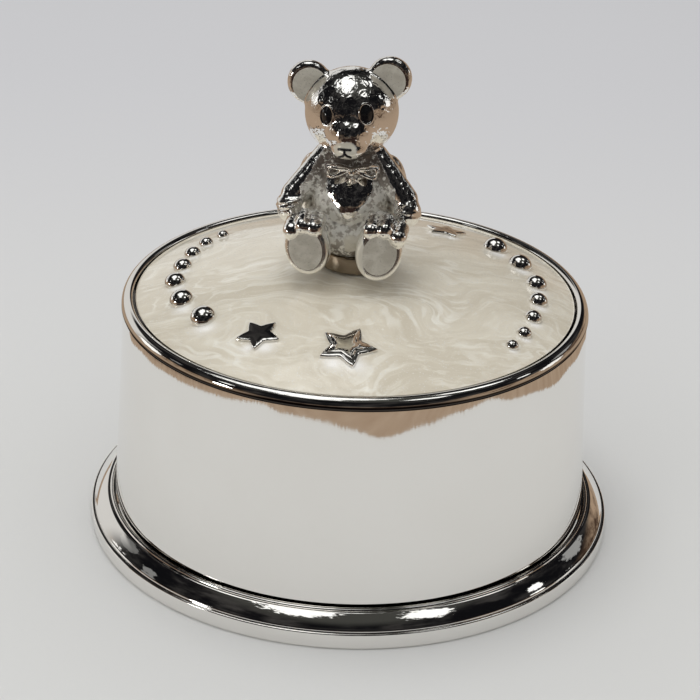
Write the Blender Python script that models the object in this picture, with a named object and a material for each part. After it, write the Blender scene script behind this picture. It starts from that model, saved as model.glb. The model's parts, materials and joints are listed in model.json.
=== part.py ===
"""Musical box: a silver-plated drum on a stepped foot, a domed enamel lid set with beads and stars,
and a small bear on a plinth that turns while the pinned cylinder plays the comb inside.

Metres, +Z up, the front faces -Y. The origin is the centre of the face that the foot rests on.
"""

import math

import bmesh
import bpy
from mathutils import Matrix, Vector

# Clearances and steps that all pieces share
SEAT_GAP = 0.0003
RUNNING_GAP = 0.0002
CUT_OVERRUN = 0.001
WELD_DISTANCE = 0.000001
LARGE_SIDES = 36
MIDDLE_SIDES = 20
SMALL_SIDES = 12
TINY_SIDES = 8
SMOOTH_ANGLE = math.radians(35)

# Drum: the spun wall, a little wider at its foot
DRUM_TOP_RADIUS = 0.0418
DRUM_FLARE = 0.0018
DRUM_WALL = 0.0010
DRUM_HEIGHT = 0.0362
WALL_FLARE_POWER = 1.15
WALL_STEPS = 2

# Foot ring: a cast ring with a rolled lip, a broad torus and a collar inside the wall
FOOT_OVERHANG = 0.0045
FOOT_LIP_ROLL = 0.0015
FOOT_LIP_HEIGHT = 0.0032
FOOT_CREASE_DEPTH = 0.0004
FOOT_SHOULDER_WIDTH = 0.0016
FOOT_TORUS_RISE = 0.0021
FOOT_RIDGE_RADIUS = 0.0004
FOOT_LEDGE_RISE = 0.0005
FOOT_REST_BAND = 0.0046
FOOT_REST_RECESS_DEPTH = 0.0012
FOOT_THROAT = 0.0040
FOOT_COLLAR_RISE = 0.0076
LUG_COUNT = 3
LUG_RADIUS = 0.0031
LUG_INSET = 0.0028
LUG_ANGLE = math.radians(60)

# Lid: a casting with a beaded rim, seated on the wall and filled with enamel
RIM_OVERHANG = 0.0002
RIM_BELLY_RISE = 0.0010
RIM_SEAT_INSET = 0.0004
RIM_CREST_INSET = 0.0012
RIM_CREST_RISE = 0.0021
ENAMEL_INSET = 0.0027
ENAMEL_EDGE_RISE = 0.0015
DOME_RISE = 0.0070
ENAMEL_THICKNESS = 0.0008
LID_THICKNESS = 0.0012
LID_SKIRT_DEPTH = 0.0035
LID_SKIRT_WALL = 0.0010
DOME_STEPS = 3
BUSH_RADIUS = 0.0026
BUSH_FLANGE_RADIUS = 0.0042
BUSH_FLANGE_THICKNESS = 0.0010
ORNAMENT_ROOT = 0.0006
ORNAMENT_RIM_GAP = 0.0002

# Ornaments of the lid: beads grow along each arc and lead to a small and a large star
BEAD_HEIGHT_SHARE = 0.78
bead_radius_shares = (0.42, 0.52, 0.62, 0.71, 0.81, 0.93, 1.0)
LARGEST_BEAD_RADIUS = 0.0021
left_bead_angle_shares = (0.3970, 0.4205, 0.4480, 0.4786, 0.5109, 0.5501, 0.5925)
left_bead_ring_shares = (0.801, 0.810, 0.807, 0.806, 0.821, 0.814, 0.795)
right_bead_angle_shares = (0.8920, 0.9149, 0.9437, 0.9765, 1.0101, 1.0503, 1.0902)
right_bead_ring_shares = (0.884, 0.867, 0.846, 0.835, 0.829, 0.803, 0.775)
LARGE_STAR_RADIUS = 0.0052
SMALL_STAR_RADIUS = 0.0040
STAR_RELIEF = 0.0011
STAR_WAIST_SHARE = 0.47
STAR_TABLE_SHARE = 0.74
STAR_BEVEL_SHARE = 0.45
star_place_shares = (
    ("large", 0.7436, 0.722, -0.0172),
    ("small", 0.6570, 0.743, -0.0767),
    ("large", 0.2420, 0.722, 0.4828),
    ("small", 0.1454, 0.690, 0.4233),
)

# Base: the plate that carries the movement, under a felt disc
PLATE_RISE = 0.0036
PLATE_THICKNESS = 0.0012
FELT_THICKNESS = 0.0007
FELT_MARGIN = 0.0006
FELT_HOLE_RADIUS = 0.0034
PLATE_SCREW_RADIUS = 0.0010
SCREW_HEAD_SHARE = 2.0
SCREW_HEAD_HEIGHT = 0.0009
SCREW_SLOT_WIDTH = 0.0005
SCREW_SLOT_DEPTH = 0.0004
LUG_SCREW_LENGTH = 0.0035

# Movement: bedplate with its comb rail, bearing posts and screw seats
BEDPLATE_THICKNESS = 0.0020
BEDPLATE_MARGIN = 0.00075
BEDPLATE_END_INSET = 0.0008
MOVEMENT_MARGIN = 0.00414
BEDPLATE_CORNER = 0.0030
POST_THICKNESS = 0.0010
POST_WIDTH = 0.0052
POST_CROWN = 0.0022
MOVEMENT_SCREW_RADIUS = 0.0009
MOVEMENT_SCREW_DEPTH = 0.0014
movement_screw_shares = ((-0.66, -0.52), (0.70, -0.84), (0.70, 0.78))

# Train: teeth and modules; the great wheel's crown teeth drive the cylinder three times as fast
CROWN_TEETH = 36
DRIVE_PINION_TEETH = 12
DRIVE_MODULE = 0.00072
DRIVE_FACE = 0.0018
END_GEAR_TEETH = 24
GOVERNOR_PINION_TEETH = 8
GOVERNOR_MODULE = 0.00045
GOVERNOR_FACE = 0.0010
WORM_WHEEL_TEETH = 18
WORM_STARTS = 2
WORM_WHEEL_MODULE = 0.00044
WORM_WHEEL_FACE = 0.0010
ADDENDUM_SHARE = 0.80
DEDENDUM_SHARE = 1.10
TOOTH_ROOT_SHARE = 0.56
TOOTH_TIP_SHARE = 0.24

# Cylinder and comb
CYLINDER_CLEARANCE = 0.0006
CYLINDER_RADIUS = 0.0065
CYLINDER_WALL = 0.0008
CYLINDER_END = 0.0010
NOTE_COUNT = 18
PIN_LENGTH = 0.0006
PIN_WIDTH = 0.0003
PIN_SLOTS = 24
pin_slot_steps = (0, 11)
ARBOR_RADIUS = 0.0010
END_PLAY = 0.0003
COMB_THICKNESS = 0.0009
COMB_DEPTH = 0.0155
COMB_RAIL_WIDTH = 0.0040
COMB_TIP_GAP = 0.00045
COMB_SLOT_SHARE = 0.36
COMB_SLOT_LONG = 0.0105
COMB_SLOT_SHORT = 0.0055
COMB_TIP_TAPER_SHARE = 0.22
COMB_SCREW_RADIUS = 0.0008
COMB_SCREW_LENGTH = 0.0030

# Spring housing, mainspring and great wheel on the winding arbor
HOUSING_CLEARANCE = 0.00066
HOUSING_WALL = 0.0008
HOUSING_FLANGE = 0.0008
SPRING_TURNS = 4
SPRING_STEPS_PER_TURN = 12
SPRING_STRIP = 0.0004
SPRING_HEIGHT_MARGIN = 0.0005
WINDING_SHAFT_RADIUS = 0.0016
WINDING_CORE_RADIUS = 0.0024
RATCHET_TEETH = 12
RATCHET_RADIUS = 0.0042
RATCHET_DEPTH = 0.0008
RATCHET_THICKNESS = 0.0009
RATCHET_CLEARANCE = 0.0010
RATCHET_UNDERCUT_SHARE = 0.03
CROWN_DISC_THICKNESS = 0.0012
CROWN_HUB_RADIUS = 0.0032
CROWN_HUB_HEIGHT = 0.0024
CLICK_WIDTH = 0.0010
CLICK_THICKNESS = 0.0004
CLICK_RIVET_RADIUS = 0.0010

# Spindle and plinth that carry the bear
SPINDLE_RADIUS = 0.0015
SPINDLE_COLLAR_RADIUS = 0.0024
SPINDLE_COLLAR_HEIGHT = 0.0016
SPINDLE_TENON = 0.0032
PLINTH_RADIUS_SHARE = 0.206
PLINTH_HEIGHT = 0.0031
PLINTH_CHAMFER = 0.0003

# Winding key below the base
KEY_HUB_RADIUS = 0.0026
KEY_CLEARANCE = 0.0008
KEY_HUB_RISE = 0.0006
KEY_WING_BOTTOM = 0.0014
KEY_WING_SPAN = 0.0105
KEY_WING_THICKNESS = 0.0016
KEY_EYE_RADIUS = 0.0017

# Governor: worm, air brake and the bracket that holds them
GOVERNOR_LEAN = math.radians(60)
GOVERNOR_ARBOR_RADIUS = 0.0006
WORM_PITCH_RADIUS = 0.0014
WORM_CORE_RADIUS = 0.0010
WORM_THREAD_WIDTH = 0.0005
WORM_LENGTH = 0.0040
WORM_STEPS_PER_TURN = 8
FLY_RADIUS = 0.0036
FLY_HEIGHT = 0.0024
FLY_THICKNESS = 0.0005
FLY_GAP = 0.0008
BRACKET_THICKNESS = 0.0008
BRACKET_WIDTH = 0.0036
BRACKET_ARM_TOP_GAP = 0.0006
BRACKET_ARM_DROP = 0.0053
BRACKET_FOOT = 0.0036
BRACKET_SCREW_RADIUS = 0.0008

# Bear: a cast figure, leaning and turned a little on its plinth, its head tilted
BEAR_HEIGHT = 0.0340
BEAR_OFFSET = -0.0008
BEAR_TURN = math.radians(-8)
BEAR_LEAN = math.radians(-2.5)
HEAD_TILT = math.radians(-4)
SKIN_STEP_SHARE = 0.0124
SKIN_SMOOTH_STEPS = 5
SKIN_FACET_SHARE = 0.038
EAR_RADIUS_SHARE = 0.112
EAR_THICKNESS_SHARE = 0.070
SOLE_WIDTH_SHARE = 0.112
SOLE_HEIGHT_SHARE = 0.136
FOOT_DEPTH_SHARE = 0.100
EYE_WIDTH_SHARE = 0.028
EYE_HEIGHT_SHARE = 0.044
EYE_RELIEF_SHARE = 0.015
EYE_SEAT = 0.0006
INLAY_DEPTH = 0.0005
INLAY_GAP = 0.0001
EAR_INLAY_SHARE = 0.80
SOLE_INLAY_SHARE = 0.76

# The bear's rounded forms: centre and radii as shares of its height, measured from the plinth
bear_form_shares = {
    "hips": ((0.0, 0.005, 0.150), (0.212, 0.190, 0.160)),
    "lap": ((0.0, -0.128, 0.094), (0.165, 0.112, 0.110)),
    "belly": ((0.0, -0.034, 0.270), (0.200, 0.178, 0.190)),
    "chest": ((0.0, 0.0, 0.420), (0.172, 0.136, 0.150)),
    "neck": ((0.0, -0.006, 0.540), (0.130, 0.120, 0.090)),
    "knot": ((0.0, -0.166, 0.462), (0.026, 0.024, 0.030)),
}
# Forms of the head, measured from its middle
head_place_share = (0.012, -0.035, 0.744)
head_form_shares = {
    "skull": ((0.0, 0.0, 0.0), (0.240, 0.232, 0.230)),
    "muzzle": ((0.0, -0.191, -0.076), (0.118, 0.112, 0.108)),
}
# Forms that both sides have, given for the side at +X
bear_side_form_shares = {
    "flank": ((0.196, 0.020, 0.310), (0.092, 0.090, 0.185)),
    "hand": ((0.310, -0.120, 0.248), (0.068, 0.080, 0.074)),
    "wing": ((0.072, -0.152, 0.464), (0.064, 0.028, 0.036)),
    "outer_toe": ((0.272, -0.316, 0.208), (0.038, 0.046, 0.040)),
    "middle_toe": ((0.210, -0.318, 0.238), (0.040, 0.048, 0.042)),
    "inner_toe": ((0.142, -0.316, 0.226), (0.038, 0.046, 0.040)),
}
# Limbs: start, end, start radius and end radius
bear_limb_shares = {
    "arm": ((0.122, 0.0, 0.490), (0.290, -0.085, 0.295), 0.070, 0.068),
    "leg": ((0.128, -0.050, 0.122), (0.198, -0.262, 0.118), 0.122, 0.122),
}
ear_place_share = (0.206, -0.018, 0.164)
ear_turn_degrees = (0, 4, 0)
sole_place_share = (0.195, -0.362, 0.110)
sole_turn_degrees = (12, 8, 12)
eye_place_share = (0.100, 0.056)

# Radii that follow from the sizes above
DRUM_FOOT_RADIUS = DRUM_TOP_RADIUS + DRUM_FLARE
FOOT_RADIUS = DRUM_FOOT_RADIUS + FOOT_OVERHANG
FOOT_REST_RADIUS = FOOT_RADIUS - FOOT_LIP_ROLL
FOOT_REST_RECESS_RADIUS = FOOT_REST_RADIUS - FOOT_REST_BAND
FOOT_SHOULDER_RADIUS = DRUM_FOOT_RADIUS + FOOT_SHOULDER_WIDTH
FOOT_INNER_RADIUS = DRUM_FOOT_RADIUS - FOOT_THROAT
LUG_RING_RADIUS = FOOT_INNER_RADIUS - LUG_INSET
PLATE_RADIUS = FOOT_INNER_RADIUS - SEAT_GAP
RIM_RADIUS = DRUM_TOP_RADIUS + RIM_OVERHANG
RIM_SEAT_RADIUS = RIM_RADIUS - RIM_SEAT_INSET
RIM_CREST_RADIUS = RIM_RADIUS - RIM_CREST_INSET
ENAMEL_RADIUS = RIM_RADIUS - ENAMEL_INSET
ENAMEL_BALL_RADIUS = (ENAMEL_RADIUS**2 + DOME_RISE**2) / (2 * DOME_RISE)

# Heights of the case and its base
FOOT_SHOULDER_HEIGHT = FOOT_LIP_HEIGHT + FOOT_TORUS_RISE
FOOT_LEDGE_HEIGHT = FOOT_SHOULDER_HEIGHT + FOOT_LEDGE_RISE
FOOT_COLLAR_TOP = FOOT_LEDGE_HEIGHT + FOOT_COLLAR_RISE
DRUM_BOTTOM = FOOT_LEDGE_HEIGHT + SEAT_GAP
DRUM_TOP = DRUM_BOTTOM + DRUM_HEIGHT
RIM_BELLY_HEIGHT = DRUM_TOP + RIM_BELLY_RISE
RIM_CREST_HEIGHT = DRUM_TOP + RIM_CREST_RISE
ENAMEL_EDGE_HEIGHT = DRUM_TOP + ENAMEL_EDGE_RISE
APEX_HEIGHT = ENAMEL_EDGE_HEIGHT + DOME_RISE
PLINTH_BOTTOM = APEX_HEIGHT + SEAT_GAP
PLINTH_TOP = PLINTH_BOTTOM + PLINTH_HEIGHT
PLATE_BOTTOM = FOOT_LEDGE_HEIGHT + PLATE_RISE
PLATE_TOP = PLATE_BOTTOM + PLATE_THICKNESS
KEY_HUB_TOP = PLATE_BOTTOM - SEAT_GAP - FELT_THICKNESS - KEY_CLEARANCE
KEY_WING_TOP = KEY_HUB_TOP - KEY_HUB_RISE

# Heights of the movement
BEDPLATE_BOTTOM = PLATE_TOP + SEAT_GAP
BEDPLATE_TOP = BEDPLATE_BOTTOM + BEDPLATE_THICKNESS
CYLINDER_AXIS_HEIGHT = BEDPLATE_TOP + CYLINDER_RADIUS + PIN_LENGTH + CYLINDER_CLEARANCE
CROWN_RADIUS = DRIVE_MODULE * CROWN_TEETH / 2
DRIVE_PINION_RADIUS = DRIVE_MODULE * DRIVE_PINION_TEETH / 2
CROWN_PITCH_HEIGHT = CYLINDER_AXIS_HEIGHT + DRIVE_PINION_RADIUS
CROWN_TIP_HEIGHT = CROWN_PITCH_HEIGHT - ADDENDUM_SHARE * DRIVE_MODULE
CROWN_ROOT_HEIGHT = CROWN_PITCH_HEIGHT + DEDENDUM_SHARE * DRIVE_MODULE
CROWN_TOP_HEIGHT = CROWN_ROOT_HEIGHT + CROWN_DISC_THICKNESS
HOUSING_TOP = CROWN_ROOT_HEIGHT - RATCHET_CLEARANCE - RATCHET_THICKNESS - 2 * SEAT_GAP

# Places along the cylinder's axis: outwards from the drum's axis, then inwards from the wall
PINION_START = CROWN_RADIUS - DRIVE_FACE / 2
PINION_END = CROWN_RADIUS + DRIVE_FACE / 2
HOUSING_RADIUS = PINION_START - HOUSING_CLEARANCE
INNER_POST_START = PINION_END + END_PLAY
INNER_POST_END = INNER_POST_START + POST_THICKNESS
CYLINDER_START = INNER_POST_END + END_PLAY
END_POST_END = DRUM_TOP_RADIUS - DRUM_WALL - MOVEMENT_MARGIN
END_POST_START = END_POST_END - POST_THICKNESS
WORM_WHEEL_END = END_POST_START - END_PLAY
WORM_WHEEL_START = WORM_WHEEL_END - WORM_WHEEL_FACE
OUTER_POST_END = WORM_WHEEL_START - END_PLAY
OUTER_POST_START = OUTER_POST_END - POST_THICKNESS
END_GEAR_END = OUTER_POST_START - END_PLAY
END_GEAR_START = END_GEAR_END - GOVERNOR_FACE
CYLINDER_STOP = END_GEAR_START - END_PLAY
CYLINDER_LENGTH = CYLINDER_STOP - CYLINDER_START

# The governor's arbor lies beside the cylinder's, one centre distance away
END_GEAR_RADIUS = GOVERNOR_MODULE * END_GEAR_TEETH / 2
GOVERNOR_PINION_RADIUS = GOVERNOR_MODULE * GOVERNOR_PINION_TEETH / 2
GOVERNOR_REACH = END_GEAR_RADIUS + GOVERNOR_PINION_RADIUS
GOVERNOR_Y = GOVERNOR_REACH * math.cos(GOVERNOR_LEAN)
GOVERNOR_Z = CYLINDER_AXIS_HEIGHT + GOVERNOR_REACH * math.sin(GOVERNOR_LEAN)
WORM_WHEEL_RADIUS = WORM_WHEEL_MODULE * WORM_WHEEL_TEETH / 2
WORM_X = (WORM_WHEEL_START + WORM_WHEEL_END) / 2
WORM_Y = GOVERNOR_Y + WORM_WHEEL_RADIUS + WORM_PITCH_RADIUS
WORM_THREAD_STEP = math.pi * WORM_WHEEL_MODULE
FLY_BOTTOM = GOVERNOR_Z + WORM_WHEEL_RADIUS + WORM_WHEEL_MODULE + FLY_GAP
FLY_TOP = FLY_BOTTOM + FLY_HEIGHT
BRACKET_ARM_BOTTOM = GOVERNOR_Z - BRACKET_ARM_DROP
BRACKET_ARM_TOP = FLY_TOP + BRACKET_ARM_TOP_GAP
BRACKET_BACK = WORM_Y + FLY_RADIUS + SEAT_GAP

# The comb lies level with the cylinder's axis, in front of it
COMB_TIP_Y = -(CYLINDER_RADIUS + COMB_TIP_GAP)
COMB_BACK_Y = COMB_TIP_Y - COMB_DEPTH
COMB_BOTTOM = CYLINDER_AXIS_HEIGHT - COMB_THICKNESS / 2
COMB_TOP = CYLINDER_AXIS_HEIGHT + COMB_THICKNESS / 2
NOTE_STEP = CYLINDER_LENGTH / (NOTE_COUNT + 1)

# The bedplate reaches a little past what stands on it
BEDPLATE_LEFT = HOUSING_RADIUS + HOUSING_FLANGE + BEDPLATE_MARGIN
BEDPLATE_FRONT = BEDPLATE_MARGIN - COMB_BACK_Y
BEDPLATE_BACK = BRACKET_BACK + BRACKET_THICKNESS + BEDPLATE_MARGIN
BEDPLATE_END_RADIUS = FOOT_INNER_RADIUS - BEDPLATE_END_INSET

# The bear's plinth, ears, soles and eyes
PLINTH_RADIUS = PLINTH_RADIUS_SHARE * BEAR_HEIGHT
EAR_RADIUS = EAR_RADIUS_SHARE * BEAR_HEIGHT
EAR_THICKNESS = EAR_THICKNESS_SHARE * BEAR_HEIGHT
SOLE_WIDTH = SOLE_WIDTH_SHARE * BEAR_HEIGHT
SOLE_HEIGHT = SOLE_HEIGHT_SHARE * BEAR_HEIGHT
FOOT_DEPTH = FOOT_DEPTH_SHARE * BEAR_HEIGHT
EYE_WIDTH = EYE_WIDTH_SHARE * BEAR_HEIGHT
EYE_HEIGHT = EYE_HEIGHT_SHARE * BEAR_HEIGHT
EYE_RELIEF = EYE_RELIEF_SHARE * BEAR_HEIGHT

TO_X_AXIS = Matrix.Rotation(math.radians(90), 4, "Y")
# A direction measured from +Y towards +Z lies a quarter turn further round in a piece turned to the X axis
QUARTER_TURN = math.radians(90)


# Shared ways of making a piece


def clear_scene():
    for old in list(bpy.data.objects):
        bpy.data.objects.remove(old, do_unlink=True)


def finish(name, colour, roughness, metallic):
    material = bpy.data.materials.new(name)
    material.use_nodes = True
    shader = material.node_tree.nodes["Principled BSDF"]
    shader.inputs["Base Color"].default_value = (*colour, 1)
    shader.inputs["Roughness"].default_value = roughness
    shader.inputs["Metallic"].default_value = metallic
    return material


def finishes():
    """Every finish of the box, by name."""
    return {
        "silver_plate": finish("silver_plate", (0.87, 0.86, 0.84), 0.06, 1),
        "cast_silver": finish("cast_silver", (0.84, 0.82, 0.79), 0.12, 1),
        "pearl_enamel": finish("pearl_enamel", (0.60, 0.56, 0.45), 0.15, 0),
        "grey_enamel": finish("grey_enamel", (0.37, 0.35, 0.30), 0.18, 0),
        "black_enamel": finish("black_enamel", (0.01, 0.01, 0.01), 0.10, 0),
        "plated_steel": finish("plated_steel", (0.62, 0.62, 0.60), 0.30, 1),
        "spring_steel": finish("spring_steel", (0.30, 0.31, 0.34), 0.28, 1),
        "comb_steel": finish("comb_steel", (0.66, 0.66, 0.66), 0.25, 1),
        "brass": finish("brass", (0.76, 0.57, 0.24), 0.22, 1),
        "zinc": finish("zinc", (0.50, 0.50, 0.50), 0.45, 1),
        "black_felt": finish("black_felt", (0.02, 0.02, 0.024), 0.95, 0),
        "white_nylon": finish("white_nylon", (0.78, 0.77, 0.72), 0.45, 0),
    }


def smooth(mesh):
    mesh.shade_smooth()
    mesh.set_sharp_from_angle(angle=SMOOTH_ANGLE)


def piece(name, shape, material=None, place=None, parent=None):
    """An object from a bmesh, with its shape placed by a matrix and carried by an empty where it turns."""
    bmesh.ops.remove_doubles(shape, verts=shape.verts, dist=WELD_DISTANCE)
    bmesh.ops.recalc_face_normals(shape, faces=shape.faces)
    mesh = bpy.data.meshes.new(name)
    shape.to_mesh(mesh)
    shape.free()
    smooth(mesh)
    made = bpy.data.objects.new(name, mesh)
    bpy.context.scene.collection.objects.link(made)
    if material:
        mesh.materials.append(material)
    if parent:
        made.parent = parent
        place = parent.matrix_world.inverted() @ (place or Matrix.Identity(4))
    if place:
        made.matrix_basis = place
    return made


def axis_empty(name, place, parent=None):
    """The axis that a moving group turns about."""
    made = bpy.data.objects.new(name, None)
    bpy.context.scene.collection.objects.link(made)
    made.parent = parent
    made.location = Vector(place) - (parent.matrix_world.translation if parent else Vector())
    bpy.context.view_layer.update()
    return made


def as_tool(made):
    """Turns an object into a cutter or a form that another piece takes in."""
    made.hide_render = True
    made.display_type = "WIRE"
    return made


def boolean(target, tool, operation):
    modifier = target.modifiers.new(operation.lower(), "BOOLEAN")
    modifier.operation = operation
    modifier.object = as_tool(tool)
    modifier.solver = "EXACT"
    return modifier


def cut(target, tool):
    boolean(target, tool, "DIFFERENCE")


def join(target, tool):
    boolean(target, tool, "UNION")


def arc(centre, radii, start, end, steps):
    """Points of an elliptic arc between two angles in degrees, both ends included."""
    points = []
    for step in range(steps + 1):
        angle = math.radians(start + (end - start) * step / steps)
        points.append((centre[0] + radii[0] * math.cos(angle), centre[1] + radii[1] * math.sin(angle)))
    return points


def turned(profile, sides=LARGE_SIDES):
    """A solid turned about Z from a profile of (radius, height) points."""
    shape = bmesh.new()
    corners = [shape.verts.new((radius, 0, height)) for radius, height in profile]
    pairs = list(zip(corners, corners[1:]))
    if profile[0][0] > 0 or profile[-1][0] > 0:
        pairs.append((corners[-1], corners[0]))
    edges = [shape.edges.new(pair) for pair in pairs]
    bmesh.ops.spin(
        shape,
        geom=corners + edges,
        cent=(0, 0, 0),
        axis=(0, 0, 1),
        angle=math.tau,
        steps=sides,
        use_merge=True,
        use_duplicate=False,
    )
    bmesh.ops.remove_doubles(shape, verts=shape.verts, dist=WELD_DISTANCE)
    return shape


def rod(radius, bottom, top, sides=SMALL_SIDES):
    return turned([(0, bottom), (radius, bottom), (radius, top), (0, top)], sides)


def lofted(rings):
    """A solid through rings of equally many points, closed at both ends."""
    shape = bmesh.new()
    rows = [[shape.verts.new(point) for point in ring] for ring in rings]
    for row, following in zip(rows, rows[1:]):
        for corner in range(len(row)):
            beside = (corner + 1) % len(row)
            shape.faces.new((row[corner], row[beside], following[beside], following[corner]))
    shape.faces.new(list(reversed(rows[0])))
    shape.faces.new(rows[-1])
    return shape


def prism(outline, bottom, top):
    """An outline of (x, y) points raised from one height to another."""
    return lofted([[(x, y, height) for x, y in outline] for height in (bottom, top)])


def block(low, high):
    outline = [(low[0], low[1]), (high[0], low[1]), (high[0], high[1]), (low[0], high[1])]
    return prism(outline, low[2], high[2])


def gathered(shapes):
    """Several bmeshes as one, for a tool of separate forms."""
    whole = bmesh.new()
    for shape, place in shapes:
        mesh = bpy.data.meshes.new("form")
        bmesh.ops.recalc_face_normals(shape, faces=shape.faces)
        shape.to_mesh(mesh)
        shape.free()
        mesh.transform(place)
        whole.from_mesh(mesh)
        bpy.data.meshes.remove(mesh)
    return whole


def at(x, y, z=0):
    return Matrix.Translation((x, y, z))


def polar(radius, angle):
    return radius * math.cos(angle), radius * math.sin(angle)


def gear_outline(teeth, module, phase):
    """Outline of a spur gear with a tooth centred on the phase angle."""
    pitch_radius = module * teeth / 2
    root = pitch_radius - DEDENDUM_SHARE * module
    tip = pitch_radius + ADDENDUM_SHARE * module
    step = math.tau / teeth
    points = []
    for tooth in range(teeth):
        middle = phase + tooth * step
        for radius, side in (
            (root, -TOOTH_ROOT_SHARE / 2),
            (tip, -TOOTH_TIP_SHARE / 2),
            (tip, TOOTH_TIP_SHARE / 2),
            (root, TOOTH_ROOT_SHARE / 2),
        ):
            points.append(polar(radius, middle + side * step))
    return points


def screw(name, shank, length, head_height, place, material):
    """A cheese-head screw with its head's seat at the place given and its shank along local +Z."""
    head = shank * SCREW_HEAD_SHARE
    profile = [(0, -head_height), (head, -head_height), (head, 0), (shank, 0), (shank, length), (0, length)]
    return piece(name, turned(profile, TINY_SIDES), material, place)


def cut_slot(made, head, head_height, place):
    """A driver slot across a screw's head."""
    reach = head + CUT_OVERRUN
    half = SCREW_SLOT_WIDTH / 2
    slot = block((-reach, -half, -head_height - CUT_OVERRUN), (reach, half, -head_height + SCREW_SLOT_DEPTH))
    cut(made, piece(made.name + "_slot", slot, None, place))


# Case: foot ring, wall, lid, enamel and bush


def wall_radius(height):
    """Outer radius of the wall, which flares a little faster towards its foot."""
    drop = (DRUM_TOP - height) / DRUM_HEIGHT
    return DRUM_TOP_RADIUS + DRUM_FLARE * drop**WALL_FLARE_POWER


def dome_height(radius):
    """Height of the enamel's upper surface at this radius: a spherical cap on the enamel's edge."""
    return APEX_HEIGHT - ENAMEL_BALL_RADIUS + math.sqrt(ENAMEL_BALL_RADIUS**2 - radius**2)


def foot_profile():
    """The foot's section: rest face, rolled lip, crease, torus, ridge, ledge for the wall, collar."""
    crease_radius = FOOT_RADIUS - FOOT_CREASE_DEPTH
    torus_top = FOOT_SHOULDER_HEIGHT
    torus_width = crease_radius - FOOT_SHOULDER_RADIUS
    torus_height = torus_top - FOOT_LIP_HEIGHT - FOOT_CREASE_DEPTH / 2
    ridge_centre = (DRUM_FOOT_RADIUS + FOOT_RIDGE_RADIUS * 2, torus_top + FOOT_RIDGE_RADIUS / 2)
    collar_radius = wall_radius(FOOT_COLLAR_TOP) - DRUM_WALL - SEAT_GAP
    lip = arc((FOOT_REST_RADIUS, FOOT_LIP_HEIGHT / 2), (FOOT_LIP_ROLL, FOOT_LIP_HEIGHT / 2), -90, 65, 3)
    torus = arc(
        (FOOT_SHOULDER_RADIUS, torus_top - torus_height),
        (torus_width, torus_height),
        0,
        90,
        3,
    )
    ridge = arc(ridge_centre, (FOOT_RIDGE_RADIUS, FOOT_RIDGE_RADIUS), 0, 180, 3)
    return (
        [
            (FOOT_INNER_RADIUS, FOOT_REST_RECESS_DEPTH),
            (FOOT_REST_RECESS_RADIUS, FOOT_REST_RECESS_DEPTH),
            (FOOT_REST_RECESS_RADIUS, 0),
        ]
        + lip
        + torus
        + ridge
        + [
            (ridge_centre[0] - FOOT_RIDGE_RADIUS, FOOT_LEDGE_HEIGHT),
            (collar_radius, FOOT_LEDGE_HEIGHT),
            (collar_radius, FOOT_COLLAR_TOP),
            (FOOT_INNER_RADIUS, FOOT_COLLAR_TOP),
        ]
    )


def lug_places():
    for number in range(LUG_COUNT):
        yield polar(LUG_RING_RADIUS, LUG_ANGLE + number * math.tau / LUG_COUNT)


def foot_ring(materials):
    ring = piece("foot_ring", turned(foot_profile()), materials["silver_plate"])
    lug_bottom = PLATE_TOP + SEAT_GAP
    lugs = [(rod(LUG_RADIUS, lug_bottom, FOOT_COLLAR_TOP - SEAT_GAP), at(x, y)) for x, y in lug_places()]
    join(ring, piece("foot_ring_lugs", gathered(lugs)))
    hole = PLATE_SCREW_RADIUS + SEAT_GAP
    holes = [
        (rod(hole, lug_bottom - CUT_OVERRUN, FOOT_COLLAR_TOP + CUT_OVERRUN, TINY_SIDES), at(x, y))
        for x, y in lug_places()
    ]
    cut(ring, piece("foot_ring_lug_holes", gathered(holes)))


def drum_wall(materials):
    heights = [DRUM_BOTTOM + DRUM_HEIGHT * step / WALL_STEPS for step in range(WALL_STEPS + 1)]
    outer = [(wall_radius(height), height) for height in heights]
    inner = [(radius - DRUM_WALL, height) for radius, height in reversed(outer)]
    piece("drum_wall", turned(outer + inner), materials["silver_plate"])


def dome_frame(ring, angle):
    """A frame on the enamel's surface, its Z axis along the dome's normal, its X axis kept level."""
    x, y = polar(ring * ENAMEL_RADIUS, angle * math.tau)
    height = dome_height(math.hypot(x, y))
    normal = Vector((x, y, height - APEX_HEIGHT + ENAMEL_BALL_RADIUS)).normalized()
    tilt = Vector((0, 0, 1)).rotation_difference(normal).to_matrix().to_4x4()
    return at(x, y, height) @ tilt


def bead_places():
    """Frame and radius of each bead on the lid."""
    for angles, rings in (
        (left_bead_angle_shares, left_bead_ring_shares),
        (right_bead_angle_shares, right_bead_ring_shares),
    ):
        for angle, ring, size in zip(angles, rings, bead_radius_shares):
            yield dome_frame(ring, angle), size * LARGEST_BEAD_RADIUS


def star_places():
    """Frame, tip radius and turn of each star on the lid."""
    for size, angle, ring, turn in star_place_shares:
        radius = LARGE_STAR_RADIUS if size == "large" else SMALL_STAR_RADIUS
        yield dome_frame(ring, angle), radius, turn * math.tau


def star_outline(radius, turn):
    points = []
    for corner in range(10):
        reach = radius if corner % 2 == 0 else radius * STAR_WAIST_SHARE
        points.append(polar(reach, turn + corner * math.tau / 10))
    return points


def star_shape(radius, turn, root):
    """A five-pointed star with a flat table and sloping edges, rooted below its surface."""
    shoulder = STAR_RELIEF * (1 - STAR_BEVEL_SHARE)
    rows = ((-root, 1), (shoulder, 1), (STAR_RELIEF, STAR_TABLE_SHARE))
    outline = star_outline(radius, turn)
    return lofted([[(x * scale, y * scale, height) for x, y in outline] for height, scale in rows])


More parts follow.
